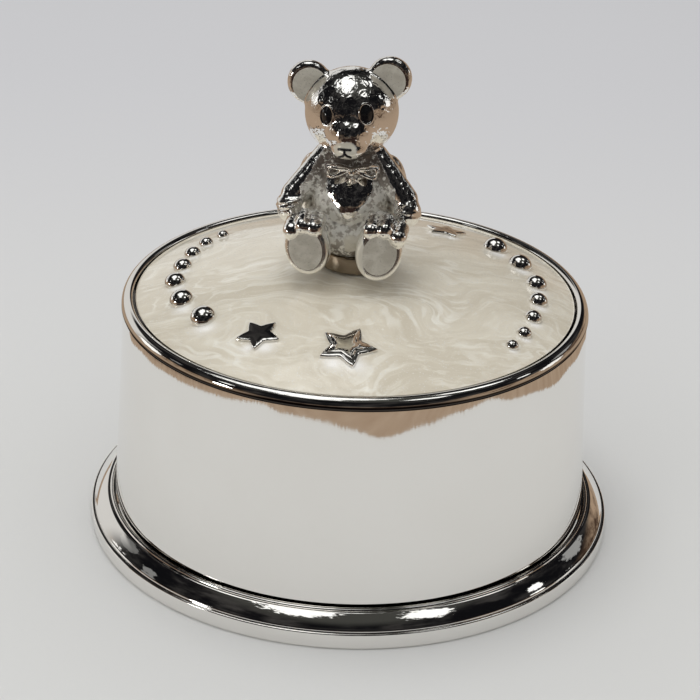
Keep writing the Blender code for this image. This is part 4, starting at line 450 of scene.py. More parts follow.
def grey_enamel_finish():
    """Warm grey pearl enamel in the ears and soles."""
    material, tree = finish("grey_enamel_finish")
    where = tree.place()
    cloud = tree.noise(where, 420, 3, 0.55, 0.5)
    glint = tree.step(tree.flakes(where, 9000)[0], 0.90, 0.98)
    grey = tree.mix(tree.step(cloud, 0.35, 0.65), (0.430, 0.396, 0.330), (0.540, 0.508, 0.435))
    tree.surface(
        Base_Color=tree.mix(glint * 0.35, grey, (0.75, 0.74, 0.70)),
        Metallic=0.12 + glint * 0.3,
        Roughness=0.40 - glint * 0.15,
        Normal=tree.bump(cloud, 0.0001, 0.4),
        Coat_Weight=0.8,
        Coat_Roughness=0.06,
    )
    return material


def black_enamel_finish():
    """Glossy black enamel of the eyes and mouth."""
    material, tree = finish("black_enamel_finish")
    cloud = tree.noise(tree.place(), 1500, 2)
    tree.surface(
        Base_Color=tree.mix(cloud, (0.003, 0.003, 0.004), (0.008, 0.008, 0.008)),
        Roughness=0.10 + cloud * 0.05,
        Specular_IOR_Level=0.1,
        Coat_Weight=1.0,
        Coat_Roughness=0.02,
    )
    return material


def metal_finish(name, dark, light, roughness, scale, stretch, depth):
    """A machined or plated metal with its own colour drift and tool marks."""
    material, tree = finish(name)
    marks = tree.noise(tree.place(scale=(1, stretch, 1)), scale, 3, 0.6)
    cloud = tree.noise(tree.place(), 140, 3)
    tree.surface(
        Base_Color=tree.mix(cloud * 0.7 + marks * 0.3, dark, light),
        Metallic=1.0,
        Roughness=roughness + marks * 0.12 + cloud * 0.05,
        Normal=tree.bump(marks, depth, 0.6),
    )
    return material


def felt_finish():
    """Black wool felt with matted fibres and paler lint."""
    material, tree = finish("black_felt_finish")
    where = tree.place()
    mat = tree.noise(where, 1900, 5, 0.7, 1.5)
    pile = tree.noise(where, 300, 3, 0.6)
    lint = tree.step(tree.noise(where, 1300, 2, 0.4, 4.0), 0.68, 0.74)
    tint = tree.mix(mat * 0.6 + pile * 0.4, (0.010, 0.010, 0.012), (0.050, 0.050, 0.056))
    tree.surface(
        Base_Color=tree.mix(lint * 0.5, tint, (0.16, 0.16, 0.165)),
        Roughness=0.95,
        Normal=tree.bump(mat + pile * 0.5, 0.0002, 0.9),
        Sheen_Weight=0.35,
        Sheen_Roughness=0.6,
    )
    return material


def nylon_finish():
    """Off-white moulded nylon."""
    material, tree = finish("white_nylon_finish")
    cloud = tree.noise(tree.place(), 500, 3)
    tree.surface(
        Base_Color=tree.mix(cloud, (0.70, 0.69, 0.63), (0.80, 0.79, 0.75)),
        Roughness=0.42 + cloud * 0.12,
        Normal=tree.bump(cloud, 0.00003, 0.5),
        Subsurface_Weight=0.1,
        Subsurface_Radius=(0.001, 0.001, 0.001),
    )
    return material


def finishes():
    """Every finish by its material slot, and a shaded one for the bear's seat."""
    made_of = {
        "silver_plate": silver_plate_finish(),
        "cast_silver": cast_silver_finish(),
        "pearl_enamel": pearl_enamel_finish(),
        "grey_enamel": grey_enamel_finish(),
        "black_enamel": black_enamel_finish(),
        "black_felt": felt_finish(),
        "white_nylon": nylon_finish(),
    }
    # Dark and light tone, roughness, then the marks' scale, stretch and depth in metres
    metals = {
        # The bear's seat: silver painted dark brown, as painted shade and a painted reflection of the feet's
        # dark undersides
        "shaded_silver": ((0.20, 0.155, 0.11), (0.50, 0.43, 0.34), 0.16, 500, 1, 0.00002),
        "plated_steel": ((0.52, 0.52, 0.50), (0.68, 0.68, 0.66), 0.20, 900, 1, 0.00002),
        "spring_steel": ((0.10, 0.12, 0.20), (0.30, 0.31, 0.38), 0.24, 700, 12, 0.00002),
        "comb_steel": ((0.50, 0.50, 0.50), (0.72, 0.72, 0.72), 0.20, 1100, 12, 0.00002),
        "brass": ((0.60, 0.41, 0.14), (0.83, 0.64, 0.30), 0.18, 900, 1, 0.00002),
        "zinc": ((0.36, 0.36, 0.37), (0.55, 0.55, 0.55), 0.42, 500, 1, 0.00005),
    }
    for name, values in metals.items():
        made_of[name] = metal_finish(f"{name}_finish", *values)
    return made_of


# Making pieces


def rotation(degrees, axis):
    return Matrix.Rotation(math.radians(degrees), 4, axis)


def arc(centre, radii, start, end, steps):
    """Points of an elliptic arc between two angles in degrees."""
    points = []
    for number in range(steps + 1):
        angle = math.radians(start + (end - start) * number / steps)
        points.append((centre[0] + radii[0] * math.cos(angle), centre[1] + radii[1] * math.sin(angle)))
    return points


def outline(section):
    """Points of a section that is written as points and arcs."""
    points = []
    for item in section:
        points += [item] if len(item) == 2 else arc(*item)
    return points


def spun(profile, sides=ROUND_SIDES):
    """A body turned about Z from a closed profile, or one that starts and ends on the axis."""
    shape = bmesh.new()
    corners = [shape.verts.new((radius, 0, height)) for radius, height in profile]
    pairs = list(zip(corners, corners[1:]))
    if profile[0][0] > 0 or profile[-1][0] > 0:
        pairs.append((corners[-1], corners[0]))
    edges = [shape.edges.new(pair) for pair in pairs]
    bmesh.ops.spin(
        shape, geom=corners + edges, cent=(0, 0, 0), axis=(0, 0, 1),
        angle=math.tau, steps=sides, use_merge=True, use_duplicate=False,
    )
    return shape


def mesh_of(name, shape):
    """A mesh from a shape, which is used up."""
    mesh = bpy.data.meshes.new(name)
    shape.to_mesh(mesh)
    shape.free()
    return mesh


def added(name, data):
    """A new object in the scene."""
    piece = bpy.data.objects.new(name, data)
    bpy.context.scene.collection.objects.link(piece)
    return piece


def gathered(shapes):
    """Several shapes in one, each with its own place."""
    whole = bmesh.new()
    for shape, place in shapes:
        mesh = mesh_of("shape", shape)
        mesh.transform(place)
        whole.from_mesh(mesh)
        bpy.data.meshes.remove(mesh)
    return whole


def made(name, shape, material, smooth_angle=35):
    """An object from a shape in millimetres, its place in its mesh."""
    bmesh.ops.remove_doubles(shape, verts=shape.verts, dist=0.0005)
    bmesh.ops.recalc_face_normals(shape, faces=shape.faces)
    bmesh.ops.scale(shape, vec=(MM, MM, MM), verts=shape.verts)
    mesh = mesh_of(name, shape)
    mesh.shade_smooth()
    mesh.set_sharp_from_angle(angle=math.radians(smooth_angle))
    mesh.materials.append(material)
    return added(name, mesh)


def placed(piece, body, slot, *nodes):
    """The piece rides on a body and stands for CAD nodes, which it hides; its slot is not used."""
    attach(piece, body)
    if nodes:
        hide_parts(*nodes)


def read_places(mesh):
    """A mesh's points as rows of x, y and z, in metres."""
    places = np.empty(len(mesh.vertices) * 3)
    mesh.vertices.foreach_get("co", places)
    return places.reshape(-1, 3)


def keep_values(mesh, name, values):
    """Keeps a value on each point, for the piece's finish to read."""
    layer = mesh.attributes.new(name, "FLOAT", "POINT")
    layer.data.foreach_set("value", values)


# Case


def wall_radius(height):
    """The wall's outer radius, which flares downwards."""
    drop = (DRUM_TOP - height) / (DRUM_TOP - DRUM_BOTTOM)
    return DRUM_TOP_RADIUS + DRUM_FLARE * max(drop, 0) ** WALL_FLARE_POWER


def foot(finish_of):
    """The foot, the collar inside the wall and three lugs for the plate."""
    collar = wall_radius(COLLAR_TOP) - DRUM_WALL - COLLAR_GAP
    profile = outline(foot_section)
    profile += [(collar, COLLAR_BOTTOM), (collar, COLLAR_TOP), (FOOT_INNER, COLLAR_TOP)]
    lugs = []
    for number in range(3):
        angle = math.radians(60) + number * math.tau / 3
        lug = spun([(0, LUG_BOTTOM), (LUG_RADIUS, LUG_BOTTOM), (LUG_RADIUS, LUG_TOP), (0, LUG_TOP)], 32)
        lugs.append((lug, Matrix.Translation((LUG_RING * math.cos(angle), LUG_RING * math.sin(angle), 0))))
    ring = gathered([(spun(profile), Matrix.Identity(4))] + lugs)
    placed(made("foot", ring, finish_of["silver_plate"], 28), "root", "silver_plate", "foot_ring")


def wall(finish_of):
    """The drum's wall, spun thin, with its lower edge broken."""
    rise = DRUM_TOP - DRUM_BOTTOM
    heights = [DRUM_BOTTOM + rise * number / WALL_BANDS for number in range(WALL_BANDS + 1)]
    outer = [(wall_radius(height), height) for height in heights]
    outer[0:1] = [(outer[0][0] - WALL_ROLL, DRUM_BOTTOM), (outer[0][0], DRUM_BOTTOM + WALL_ROLL)]
    inner = [(wall_radius(height) - DRUM_WALL, height) for height in reversed(heights)]
    placed(made("wall", spun(outer + inner), finish_of["silver_plate"]), "root", "silver_plate", "drum_wall")


def dome_height(radius):
    """The height of the enamel's face, level past its edge."""
    return APEX - ENAMEL_BALL + math.sqrt(ENAMEL_BALL**2 - min(radius, ENAMEL_RADIUS) ** 2)


def dome_place(ring, turns):
    reach = ring * ENAMEL_RADIUS
    return reach * math.cos(turns * math.tau), reach * math.sin(turns * math.tau)


def dome_frame(ring, turns):
    """A frame on the enamel, its Z axis along the dome's normal."""
    x, y = dome_place(ring, turns)
    height = dome_height(math.hypot(x, y))
    normal = Vector((x, y, height - APEX + ENAMEL_BALL)).normalized()
    tilt = Vector((0, 0, 1)).rotation_difference(normal).to_matrix().to_4x4()
    return Matrix.Translation((x, y, height)) @ tilt


def bead_places():
    """Radius, ring and turns of each bead."""
    for places in (left_beads, right_beads):
        for (turns, ring), size in zip(places, bead_sizes):
            yield size * LARGEST_BEAD, ring, turns


def bead(radius):
    """A bead: half of a slightly flat ball on a short stem that stands in the enamel."""
    width = radius + BEAD_SKIRT
    profile = [(0, -BEAD_ROOT), (width - 0.1, -BEAD_ROOT), (width, 0.0)]
    profile += arc((0, BEAD_LIFT), (width, width * BEAD_FLATNESS), 0, 90, 18)
    profile[-1] = (0, profile[-1][1])
    return spun(profile, 40)


def star_reach(turned, radius):
    """How far a star's edge stands from its middle, with sides that curve in between pointed arms."""
    share = np.abs((turned * 10 + 1) % 2 - 1)
    return radius * (STAR_WAIST + (1 - STAR_WAIST) * (1 - share) ** STAR_CURVE)


def star(radius, turn):
    """A raised five-pointed star with upright sides, a rounded edge and a pillowed top."""
    shape = bmesh.new()
    bmesh.ops.create_circle(shape, cap_ends=True, segments=STAR_SIDES, radius=1)
    for number, (share, rise) in enumerate(star_rings):
        if number:
            top = max(shape.faces, key=lambda face: face.calc_center_median().z)
            lifted = bmesh.ops.extrude_face_region(shape, geom=[top])["geom"]
            corners = [item for item in lifted if isinstance(item, bmesh.types.BMVert)]
        else:
            corners = list(shape.verts)
        for corner in corners:
            angle = math.atan2(corner.co.y, corner.co.x)
            reach = star_reach((angle / math.tau - turn) % 1, radius) * share
            corner.co = (reach * math.cos(angle), reach * math.sin(angle), rise)
    bmesh.ops.recalc_face_normals(shape, faces=shape.faces)
    return shape


def lid(finish_of):
    """The lid's casting: skirt, rolled rim, bed under the enamel, with its beads and stars."""
    silver = finish_of["silver_plate"]
    rings = [BED_RADIUS - (BED_RADIUS - BUSH_HOLE) * number / BED_RINGS for number in range(BED_RINGS + 1)]
    profile = outline(rim_section)
    profile += [(radius, dome_height(radius) - BED_DEPTH) for radius in rings]
    profile += [(radius, dome_height(radius) - CASTING_DEPTH) for radius in reversed(rings)]
    placed(made("lid", spun(profile), silver, 30), "root", "silver_plate", "lid_casting")
    beads = [(bead(radius), dome_frame(ring, turns)) for radius, ring, turns in bead_places()]
    placed(made("lid_beads", gathered(beads), silver), "root", "silver_plate")
    shapes = [(star(radius, turn), dome_frame(ring, turns)) for radius, turns, ring, turn in stars]
    placed(made("lid_stars", gathered(shapes), silver, 24), "root", "silver_plate")


def thrown_light(x, y, radius, glows):
    """The light that an ornament throws on points about its middle."""
    total = np.zeros(x.shape)
    for right, nearer, share in glows:
        across, along, spread = x - right * radius, y + nearer * radius, share * radius
        total += np.exp(-(across * across + 1.6 * along * along) / (2 * spread * spread))
    return total


def ornament_gaps(x, y):
    """How far points of the enamel lie from the nearest bead or star, and the light thrown on them."""
    gap = np.full(x.shape, FARTHEST_GAP)
    glow = np.zeros(x.shape)
    for radius, ring, turns in bead_places():
        across, along = dome_place(ring, turns)
        gap = np.minimum(gap, np.hypot(x - across, y - along) - radius)
        glow += thrown_light(x - across, y - along, radius, bead_glows)
    for radius, turns, ring, turn in stars:
        across, along = dome_place(ring, turns)
        turned = (np.arctan2(y - along, x - across) / math.tau - turn) % 1
        gap = np.minimum(gap, (np.hypot(x - across, y - along) - star_reach(turned, radius)) * 0.75)
        glow += thrown_light(x - across, y - along, radius, star_glows)
    return np.maximum(gap, 0.0), np.minimum(glow, 1.0)


def enamel(finish_of):
    """The enamel, drawn up a little where it meets the rim, the beads and the stars."""
    span = ENAMEL_RADIUS - 0.4 - BUSH_HOLE
    rings = [BUSH_HOLE + span * number / FIELD_RINGS for number in range(FIELD_RINGS + 1)]
    edge = dome_height(39.2)
    top = [(radius, dome_height(radius)) for radius in rings] + [(39.2, edge + 0.03), (39.4, edge + 0.14)]
    bottom = [(radius, dome_height(radius) - ENAMEL_DEPTH) for radius, _ in reversed(top[::6])]
    field = made("enamel", spun(top + bottom, FIELD_SIDES), finish_of["pearl_enamel"])
    x, y, z = (read_places(field.data) / MM).T
    gap, glow = ornament_gaps(x, y)
    face = np.array([dome_height(radius) for radius in np.hypot(x, y)])
    rise = DRAWN_UP * np.exp(-gap / DRAWN_OUT) * (z > face - ENAMEL_DEPTH / 2)
    field.data.vertices.foreach_set("co", np.stack([x, y, z + rise], axis=1).ravel() * MM)
    keep_values(field.data, "gap", gap)
    keep_values(field.data, "glow", glow)
    placed(field, "root", "pearl_enamel", "enamel_field")


# Bear


def bear_frame():
    place = Matrix.Translation((BEAR_OFFSET, 0, PLINTH_TOP))
    return place @ rotation(BEAR_LEAN, "Y") @ rotation(BEAR_TURN, "Z")


def point(share, side=1):
    """A point of the bear, on one side or mirrored, from shares of its height."""
    return Vector((side * share[0], share[1], share[2])) * BEAR_HEIGHT


def head_frame():
    turn = rotation(HEAD_TILT, "Y") @ rotation(FACE_TURN, "Z")
    return Matrix.Translation(point(head_place)) @ turn


def facing(place, side, out, up, splay):
    """A frame that faces forwards, turned outwards, tilted up and splayed."""
    turn = rotation(side * out, "Z") @ rotation(90 - up, "X") @ rotation(-side * splay, "Z")
    return Matrix.Translation(point(place, side)) @ turn


def ear_frame(side):
    return head_frame() @ facing(ear_place, side, *ear_turn)


def sole_frame(side):
    return facing(sole_places[side], side, *sole_turns[side])


def eye_frame(side):
    across, upward = eye_place[0] / SKULL[0], eye_place[1] / SKULL[2]
    forward = math.sqrt(1 - across**2 - upward**2)
    surface = (eye_place[0], -SKULL[1] * forward, eye_place[1])
    normal = Vector((side * across / SKULL[0], -forward / SKULL[1], upward / SKULL[2]))
    turn = normal.to_track_quat("Z", "Y").to_matrix().to_4x4()
    return head_frame() @ Matrix.Translation(point(surface, side)) @ turn


def ball(centre, radii, side=1, turn=None):
    """An ellipsoid from shares of the bear's height."""
    shape = bmesh.new()
    bmesh.ops.create_icosphere(shape, subdivisions=4, radius=1)
    size = Matrix.Diagonal((*(share * BEAR_HEIGHT for share in radii), 1))
    return shape, Matrix.Translation(point(centre, side)) @ (turn or Matrix.Identity(4)) @ size


def rod(first, last, first_radius, last_radius, steps, sides):
    """A tapered rod with round ends between two points."""
    profile = arc((0, 0), (first_radius, first_radius), -90, 0, steps)
    profile += arc((0, (last - first).length), (last_radius, last_radius), 0, 90, steps)
    profile[0] = (0, profile[0][1])
    profile[-1] = (0, profile[-1][1])
    turn = (last - first).to_track_quat("Z", "Y").to_matrix().to_4x4()
    return spun(profile, sides), Matrix.Translation(first) @ turn


def limb(start, end, start_share, end_share, side):
    """A limb from shares of the bear's height."""
    radii = start_share * BEAR_HEIGHT, end_share * BEAR_HEIGHT
    return rod(point(start, side), point(end, side), *radii, 8, 32)


def disc(width, height, depth, edge):
    """A disc with a rounded edge, its front face at height zero."""
    profile = [(0, -depth)] + arc((1 - edge / width, -depth + edge), (edge / width, edge), -90, 0, 6)
    profile += arc((1 - edge / width, -edge), (edge / width, edge), 0, 90, 6) + [(0, 0)]
    return spun(profile, 48), Matrix.Diagonal((width, height, 1, 1))


def skin(shapes, step, smoothing):
    """One even skin over all shapes."""
    mesh = mesh_of("forms", gathered(shapes))
    form = added("forms", mesh)
    shell = form.modifiers.new("shell", "REMESH")
    shell.mode = "VOXEL"
    shell.voxel_size = step
    soften = form.modifiers.new("soften", "SMOOTH")
    soften.factor = 0.5
    soften.iterations = smoothing
    result = bmesh.new()
    graph = bpy.context.evaluated_depsgraph_get()
    result.from_object(form, graph)
    bpy.data.objects.remove(form)
    bpy.data.meshes.remove(mesh)
    return result


def main_forms():
    """The bear's large forms, which melt into each other."""
    shapes = [ball(*form) for form in body_balls]
    shapes += [(shape, head_frame() @ place) for shape, place in (ball(*form) for form in head_balls)]
    for side in (-1, 1):
        shapes += [ball(*form, side) for form in side_balls]
        shapes += [limb(*form, side) for form in side_limbs]
        ear, ear_size = disc(EAR_RADIUS, EAR_RADIUS, EAR_DEPTH, EAR_EDGE)
        sole, sole_size = disc(*sole_sizes[side], SOLE_DEPTH, SOLE_EDGE)
        shapes.append((ear, ear_frame(side) @ ear_size))
        shapes.append((sole, sole_frame(side) @ sole_size))
    return shapes


def small_forms():
    """Toes, cuffs and bow, which keep their edges."""
    across, forward, height = bow_place
    shapes = [ball(bow_place, BOW_KNOT)]
    for side in (-1, 1):
        for lift in (-BOW_RIDGE_LIFT, BOW_RIDGE_LIFT):
            ridge = (across + side * BOW_RIDGE_OUT, forward + 0.014, height + lift)
            shapes.append(ball(ridge, BOW_RIDGE, 1, rotation(side * (BOW_TILT - lift * 700), "Y")))
        tip = (across + side * BOW_TIP_OUT, forward + 0.020, height)
        shapes.append(ball(tip, BOW_TIP, 1, rotation(side * BOW_TILT, "Y")))
        for drop, reach in cuff_rings:
            cuff = (CUFF_OUT, CUFF_FORWARD, cuff_heights[side] - drop)
            shapes.append(ball(cuff, (reach, reach + 0.012, 0.0095), side, rotation(side * CUFF_TILT, "Y")))
        for out, rise in toe_places[side]:
            back, front = rise + 0.002, rise + 0.002 - TOE_DROP
            shapes.append(limb((out, TOE_BACK, back), (out, TOE_FRONT, front), *TOE_RADII, side))
    return shapes


def bear(finish_of):
    """The bear: one cast skin that sits flat on its seat, and its mouth."""
    body = skin(main_forms(), step=0.30, smoothing=7)
    shape = skin([(body, Matrix.Identity(4))] + small_forms(), step=0.21, smoothing=6)
    bmesh.ops.transform(shape, matrix=bear_frame(), verts=shape.verts)
    seat = PLINTH_TOP + 0.05
    for corner in shape.verts:
        if corner.co.z < seat and math.hypot(corner.co.x, corner.co.y) < PLINTH_RADIUS + 0.3:
            corner.co.z = seat
    mouth(shape, finish_of["black_enamel"])
    figure = made("bear_figure", shape, finish_of["cast_silver"], 80)
    placed(figure, "turntable", "cast_silver", "bear")
    grade_figure(figure.data)


def mouth(skin_shape, material):
    """The painted mouth: four short strokes laid on the muzzle."""
    tree = BVHTree.FromBMesh(skin_shape)
    look = bear_frame() @ head_frame()
    ahead = (look.to_3x3() @ Vector((0, 1, 0))).normalized()
    shapes = []
    for stroke in mouth_strokes:
        line = []
        for across, upward in stroke:
            start = look @ (Vector((across, -0.8, upward + MOUTH_HEIGHT)) * BEAR_HEIGHT)
            line.append(tree.ray_cast(start, ahead)[0])
        for first, last in zip(line, line[1:]):
            shapes.append(rod(first, last, STROKE_RADIUS, STROKE_RADIUS, 4, 12))
    placed(made("bear_mouth", gathered(shapes), material, 60), "turntable", "black_enamel")


def eased(low, high, values):
    """Values that ease from 0 at low to 1 at high, which may be the smaller of the two."""
    shares = np.clip((values - low) / (high - low), 0.0, 1.0)
    return shares * shares * (3 - 2 * shares)


def hollows(mesh, places):
    """How hollow the skin is at each point: how far its surroundings stand out past it."""
    normals = np.empty(len(places) * 3)
    ends = np.empty(len(mesh.edges) * 2, dtype=int)
    mesh.vertices.foreach_get("normal", normals)
    mesh.edges.foreach_get("vertices", ends)
    normals, ends = normals.reshape(-1, 3), ends.reshape(-1, 2)
    number = np.bincount(ends.ravel(), minlength=len(places))

    def around(values):
        total = np.zeros_like(values)
        np.add.at(total, ends[:, 0], values[ends[:, 1]])
        np.add.at(total, ends[:, 1], values[ends[:, 0]])
        return total / (number[:, None] if values.ndim > 1 else number)

    middle = places
    for _ in range(5):
        middle = around(middle)
    bends = ((middle - places) * normals).sum(axis=1) / MM
    for _ in range(6):
        bends = 0.5 * bends + 0.5 * around(bends)
    return eased(0.012, 0.09, bends)


def shares_in(part_frame, places):
    """Places across, backwards and up in a frame of the bear, as shares of its height."""
    back = part_frame.inverted()
    return (np.array(back.to_3x3()) @ (places / MM).T + np.array(back.translation)[:, None]) / BEAR_HEIGHT


def mouth_plate(places):
    """The pale plate that the mouth is painted on."""
    across, back, height = shares_in(bear_frame() @ head_frame(), places)
    wide = eased(0.078, 0.040, np.abs(across + 0.012) + np.maximum(0.0, height + 0.095) * 0.7)
    return wide * eased(-0.045, -0.080, height) * eased(-0.18, -0.20, back)


def grade_figure(mesh):
    """Keeps on each point how grainy, hollow and smooth the skin is, its painted shade towards the neck and
    at the seat, and the mouth's plate.
    """
    places = read_places(mesh)
    x, y, z = shares_in(bear_frame(), places)
    body = eased(0.585, 0.54, z)
    inside = eased(0.262, 0.222, np.abs(x) + np.maximum(0.0, z - 0.36) * 0.62)
    front = eased(0.12, 0.02, y)
    feet = eased(0.155, 0.185, z + np.maximum(0.0, -0.24 - y) * 0.2)
    toes = eased(-0.20, -0.25, y) * feet
    half_belly = 0.105 * eased(0.205, 0.36, z)
    belly = eased(0.045, -0.015, np.abs(x - 0.012) - half_belly)
    belly *= eased(0.430, 0.415, z) * eased(0.205, 0.24, z)
    across, forward, height = bow_place
    bow = eased(0.042, 0.032, np.abs(z - height)) * eased(0.135, 0.125, np.abs(x - across))
    bow *= eased(forward + 0.026, forward + 0.014, y)
    rims = eased(-0.31, -0.34, y) * eased(0.20, 0.17, z)
    rough = body * inside * front * (1 - toes) * (1 - belly) * (1 - bow)
    # Painted shade: darker up the chest towards the neck under the head, and at the seat between the legs
    chest = eased(0.28, 0.48, z)
    seat = 0.7 * eased(0.12, 0.04, z) * eased(0.12, 0.06, np.abs(x))
    keep_values(mesh, "grain", rough * (1 - rims))
    keep_values(mesh, "hollow", hollows(mesh, places) * (1 - rims))
    keep_values(mesh, "smooth", np.maximum(rims, 0.6 * bow))
    keep_values(mesh, "neck_seat_shade", np.maximum(chest, seat) * (1 - bow) * (1 - rims))
    keep_values(mesh, "plate", mouth_plate(places))


def inlay(name, place, size, finish, slot, node):
    """A slightly domed oval of enamel in its seat: half width, half height and crown."""
    width, height, crown = size
    profile = [(0, -0.4), (1, -0.4), (1, -0.06)] + arc((0.94, -0.06), (0.06, 0.06), 0, 90, 4)
    profile += [(0.6, crown * 0.64), (0.3, crown * 0.92), (0, crown)]
    shape = spun(profile, 64)
    bmesh.ops.scale(shape, vec=(width, height, 1), verts=shape.verts)
    bmesh.ops.transform(shape, matrix=bear_frame() @ place, verts=shape.verts)
    placed(made(name, shape, finish, 60), "turntable", slot, node)


def eye_ring(eye):
    """A thin raised line of silver round an eye."""
    shape = spun([(1.15, -0.5)] + arc((1.27, 0.0), (0.15, 0.17), 200, -20, 8) + [(1.39, -0.5)], 64)
    bmesh.ops.scale(shape, vec=(1, 1.38, 1), verts=shape.verts)
    return shape, bear_frame() @ eye


def inlays(finish_of):
    """The enamel of the ears, soles and eyes, and the silver lines round the eyes."""
    grey, black = finish_of["grey_enamel"], finish_of["black_enamel"]
    rings = [eye_ring(eye_frame(side)) for side in (-1, 1)]
    placed(made("eye_rims", gathered(rings), finish_of["silver_plate"], 60), "turntable", "silver_plate")
    for side, hand in ((-1, "right"), (1, "left")):
        ear = ear_frame(side) @ Matrix.Translation((-0.30 * side, -0.32, 0.08))
        sole = sole_frame(side) @ Matrix.Translation((0, 0, 0.08))
        inlay(f"ear_{hand}_fill", ear, EAR_FILL, grey, "grey_enamel", f"ear_enamel_{hand}")
        inlay(f"sole_{hand}_fill", sole, SOLE_FILL, grey, "grey_enamel", f"sole_enamel_{hand}")
        inlay(f"eye_{hand}_fill", eye_frame(side), EYE_FILL, black, "black_enamel", f"eye_{hand}")


def plinth(finish_of):
    """The round seat under the bear, with rounded edges."""
    profile = [(PLINTH_HOLE, PLINTH_BOTTOM), (PLINTH_RADIUS - 0.10, PLINTH_BOTTOM)]
    profile += arc((PLINTH_RADIUS - 0.18, PLINTH_BOTTOM + 0.25), (0.18, 0.20), -90, 0, 4)
    profile += arc((PLINTH_RADIUS - 0.28, PLINTH_TOP - 0.28), (0.28, 0.28), 0, 90, 6)
    profile += [(PLINTH_HOLE, PLINTH_TOP)]
    # The seat's dark brown is painted shade under the bear and a painted reflection of its feet's undersides
    seat = made("bear_seat", spun(profile, 128), finish_of["shaded_silver"])
    placed(seat, "turntable", "silver_plate", "bear_plinth")


# Stage, camera and lights


def floor():
    """A pale table top; mirrors also see the dark room begin past its near edge."""
    shape = bmesh.new()
    bmesh.ops.create_grid(shape, x_segments=1, y_segments=1, size=TABLE_REACH)
    mesh = mesh_of("table", shape)
    top = added("table", mesh)
    material, tree = finish("pale_table")
    where = tree.place_in_mm()
    x, y = tree.split(where)[:2]
    bearing = tree.bearing(x, y)
    reach = (x * x + y * y) ** 0.5
    first = brown_edge[0][0]
    sweep = brown_edge[-1][0] - first
    stops = [((turn - first) / sweep, (depth + EDGE_SHIFT) / EDGE_SPAN) for turn, depth in brown_edge]
    depth = tree.ramp((bearing - first) / sweep, stops) * EDGE_SPAN - EDGE_SHIFT
    ragged = tree.noise(where, 0.5, 4, 0.65)
    near_line = EDGE_REACH - bearing * bearing * EDGE_BEND - depth
    behind = tree.step(0 - bearing, 116, 150) + tree.step(bearing, 138, 168)
    line = near_line + behind * (EDGE_REACH_BEHIND - near_line) + (ragged - 0.5) * (3.0 + behind * 9)
    beyond = tree.step(reach - line, -0.2, 0.5)
    streaks = tree.noise(tree.place(scale=(40, 260, 1)), 1, 3)
    brown = tree.mix(streaks, (0.30, 0.205, 0.135), (0.50, 0.39, 0.29))
    ahead = 1 - tree.step(bearing.worked("ABSOLUTE", bearing), 35, 60)
    left = tree.step(0 - bearing, 20, 45)
    streak = tree.step(reach - line, 2.0, 4.5) * (1 - tree.step(reach - line, 9, 24))
    shade = tree.step(reach, 142, 165) * ahead + left * streak * (1 - behind)
    dusk = tree.mix(shade, brown, (0.030, 0.018, 0.015))
    tone = tree.mix(tree.step(y, -20, 260), TABLE_TONE, BACKDROP_TONE)
    plain = tree.node("BsdfDiffuse", None, {"Color": tone})
    seen = tree.node("BsdfDiffuse", None, {"Color": tree.mix(beyond, tone, dusk)})
    both = tree.node("MixShader", None, {0: tree.is_glossy(), 1: plain, 2: seen})
    tree.node("OutputMaterial", None, {"Surface": both})
    mesh.materials.append(material)


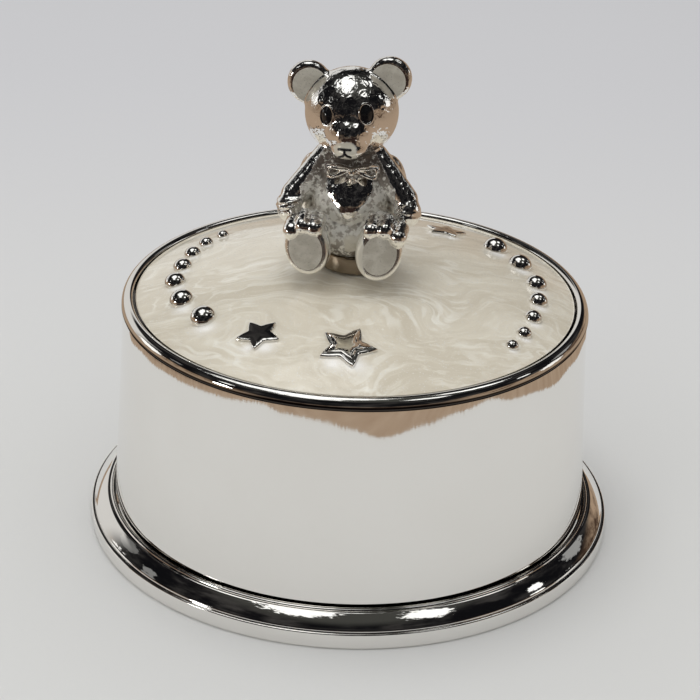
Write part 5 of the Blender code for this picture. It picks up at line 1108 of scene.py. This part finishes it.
def room():
    """Even light for plain surfaces; for mirrors a dim room with a pale wall behind and a few lamps."""
    world = bpy.data.worlds.new("room")
    bpy.context.scene.world = world
    world.use_nodes = True
    tree = Tree(world.node_tree)
    way = tree.node("TexCoord", None, None, 0)
    x, y, z = tree.split(way)
    rise = z.worked("ARCSINE", z) * (180 / math.pi)
    bearing = tree.bearing(x, y)
    aside = tree.step(bearing.worked("ABSOLUTE", bearing), 40, 62)
    cloud = tree.noise(way, 3.5, 4, 0.6)
    ragged = tree.noise(way, 11, 4, 0.7)
    torn = (ragged - 0.5) * 0.9 + (tree.noise(way, 26, 3, 0.7) - 0.5) * 1.5
    dim = tree.mix(tree.step(cloud, 0.42, 0.75), (0.005, 0.005, 0.006), (0.055, 0.052, 0.050))
    dim = tree.mix(tree.step(rise, 50, 62), dim, (0.055, 0.055, 0.050))
    grain = tree.step(cloud * 0.6 + ragged * 0.4, 0.38, 0.62)
    wood = tree.mix(grain, (0.06, 0.036, 0.024), (0.40, 0.29, 0.20))
    sides = aside * (1 - tree.step(rise + ragged * 8, 13, 22))
    front = (1 - aside) * (1 - tree.step(rise, 2, 9)) * 0.30
    view = tree.mix(sides + front, dim, wood)
    behind = tree.step(0 - bearing, 112, 128) + tree.step(bearing, 174, 179)
    wall_behind = behind * (1 - tree.step(rise + ragged * 3 - WALL_BEHIND_RISE, 0, 4))
    view = tree.mix(wall_behind, view, (0.68, 0.67, 0.65))

    def lamp_patch(turn, height, spread):
        """A lamp with a torn edge: 1 on it, else 0."""
        turned, lifted = math.radians(turn), math.radians(height)
        flat = math.cos(lifted)
        centre = (flat * math.sin(turned), -flat * math.cos(turned), math.sin(lifted))
        near = tree.node("VectorMath", {"operation": "DISTANCE"}, {0: way, 1: centre}, 1)
        edge = 2 * math.sin(math.radians(spread) / 2)
        return 1 - tree.step(near + torn * edge, edge * 0.80, edge)

    bright = lamp_patch(*BRIGHT_LAMP)
    lamps = sum(lamp_patch(*place) * power for *place, power in lamp_places) + bright
    view = tree.mix(lamps.worked("MINIMUM", lamps, 1.0), view, LAMP_TONE)
    glossy = tree.is_glossy()
    colour = tree.mix(glossy, ROOM_TONE, view)
    shader = tree.node("Background", None, {"Color": colour, "Strength": 1 + bright * glossy * 9})
    tree.node("OutputWorld", None, {"Surface": shader})


def lamp(name, place, size, power):
    """A soft round lamp that points at the drum and isn't seen in mirrors."""
    light = bpy.data.lights.new(name, "AREA")
    light.shape = "DISK"
    light.size = size
    light.energy = power
    stand = added(name, light)
    stand.location = place
    stand.rotation_mode = "QUATERNION"
    stand.rotation_quaternion = (Vector((0, 0, 0.03)) - Vector(place)).to_track_quat("-Z", "Y")
    stand.visible_glossy = False


def camera():
    rise, roll = CAMERA_RISE, CAMERA_ROLL
    ahead = Vector((0, math.cos(rise), -math.sin(rise)))
    right = Vector((1, 0, 0))
    up = Vector((0, math.sin(rise), math.cos(rise)))
    across = math.cos(roll) * right + math.sin(roll) * up
    upright = -math.sin(roll) * right + math.cos(roll) * up
    lens = bpy.data.cameras.new("camera")
    lens.lens = SENSOR * FOCAL_PIXELS / PICTURE
    lens.sensor_width = SENSOR
    lens.clip_start = 0.01
    eye = added("camera", lens)
    place = -(CAMERA_SHIFT_RIGHT * across + CAMERA_SHIFT_UP * upright + CAMERA_REACH * ahead) * CAMERA_UNIT
    turn = Matrix((across, upright, -ahead)).transposed().to_4x4()
    eye.matrix_world = Matrix.Translation(place) @ turn
    bpy.context.scene.camera = eye


def dress_nodes(finish_of):
    """Each CAD node that still shows gets the fine finish of its slot."""
    for part in frame["record"]["subparts"]:
        node = frame["nodes"][part["node"]]
        node.data.materials.clear()
        node.data.materials.append(finish_of[part["material_slot"]])


camera()
floor()
room()
lamp("overhead", (-0.08, 0.05, 0.85), size=0.50, power=2.2)
lamp("front_left", (-0.45, -0.55, 0.60), size=0.30, power=0.4)
finish_of = finishes()
dress_nodes(finish_of)
for make in (foot, wall, lid, enamel, plinth, bear, inlays):
    make(finish_of)
bpy.context.scene.view_settings.view_transform = "Standard"
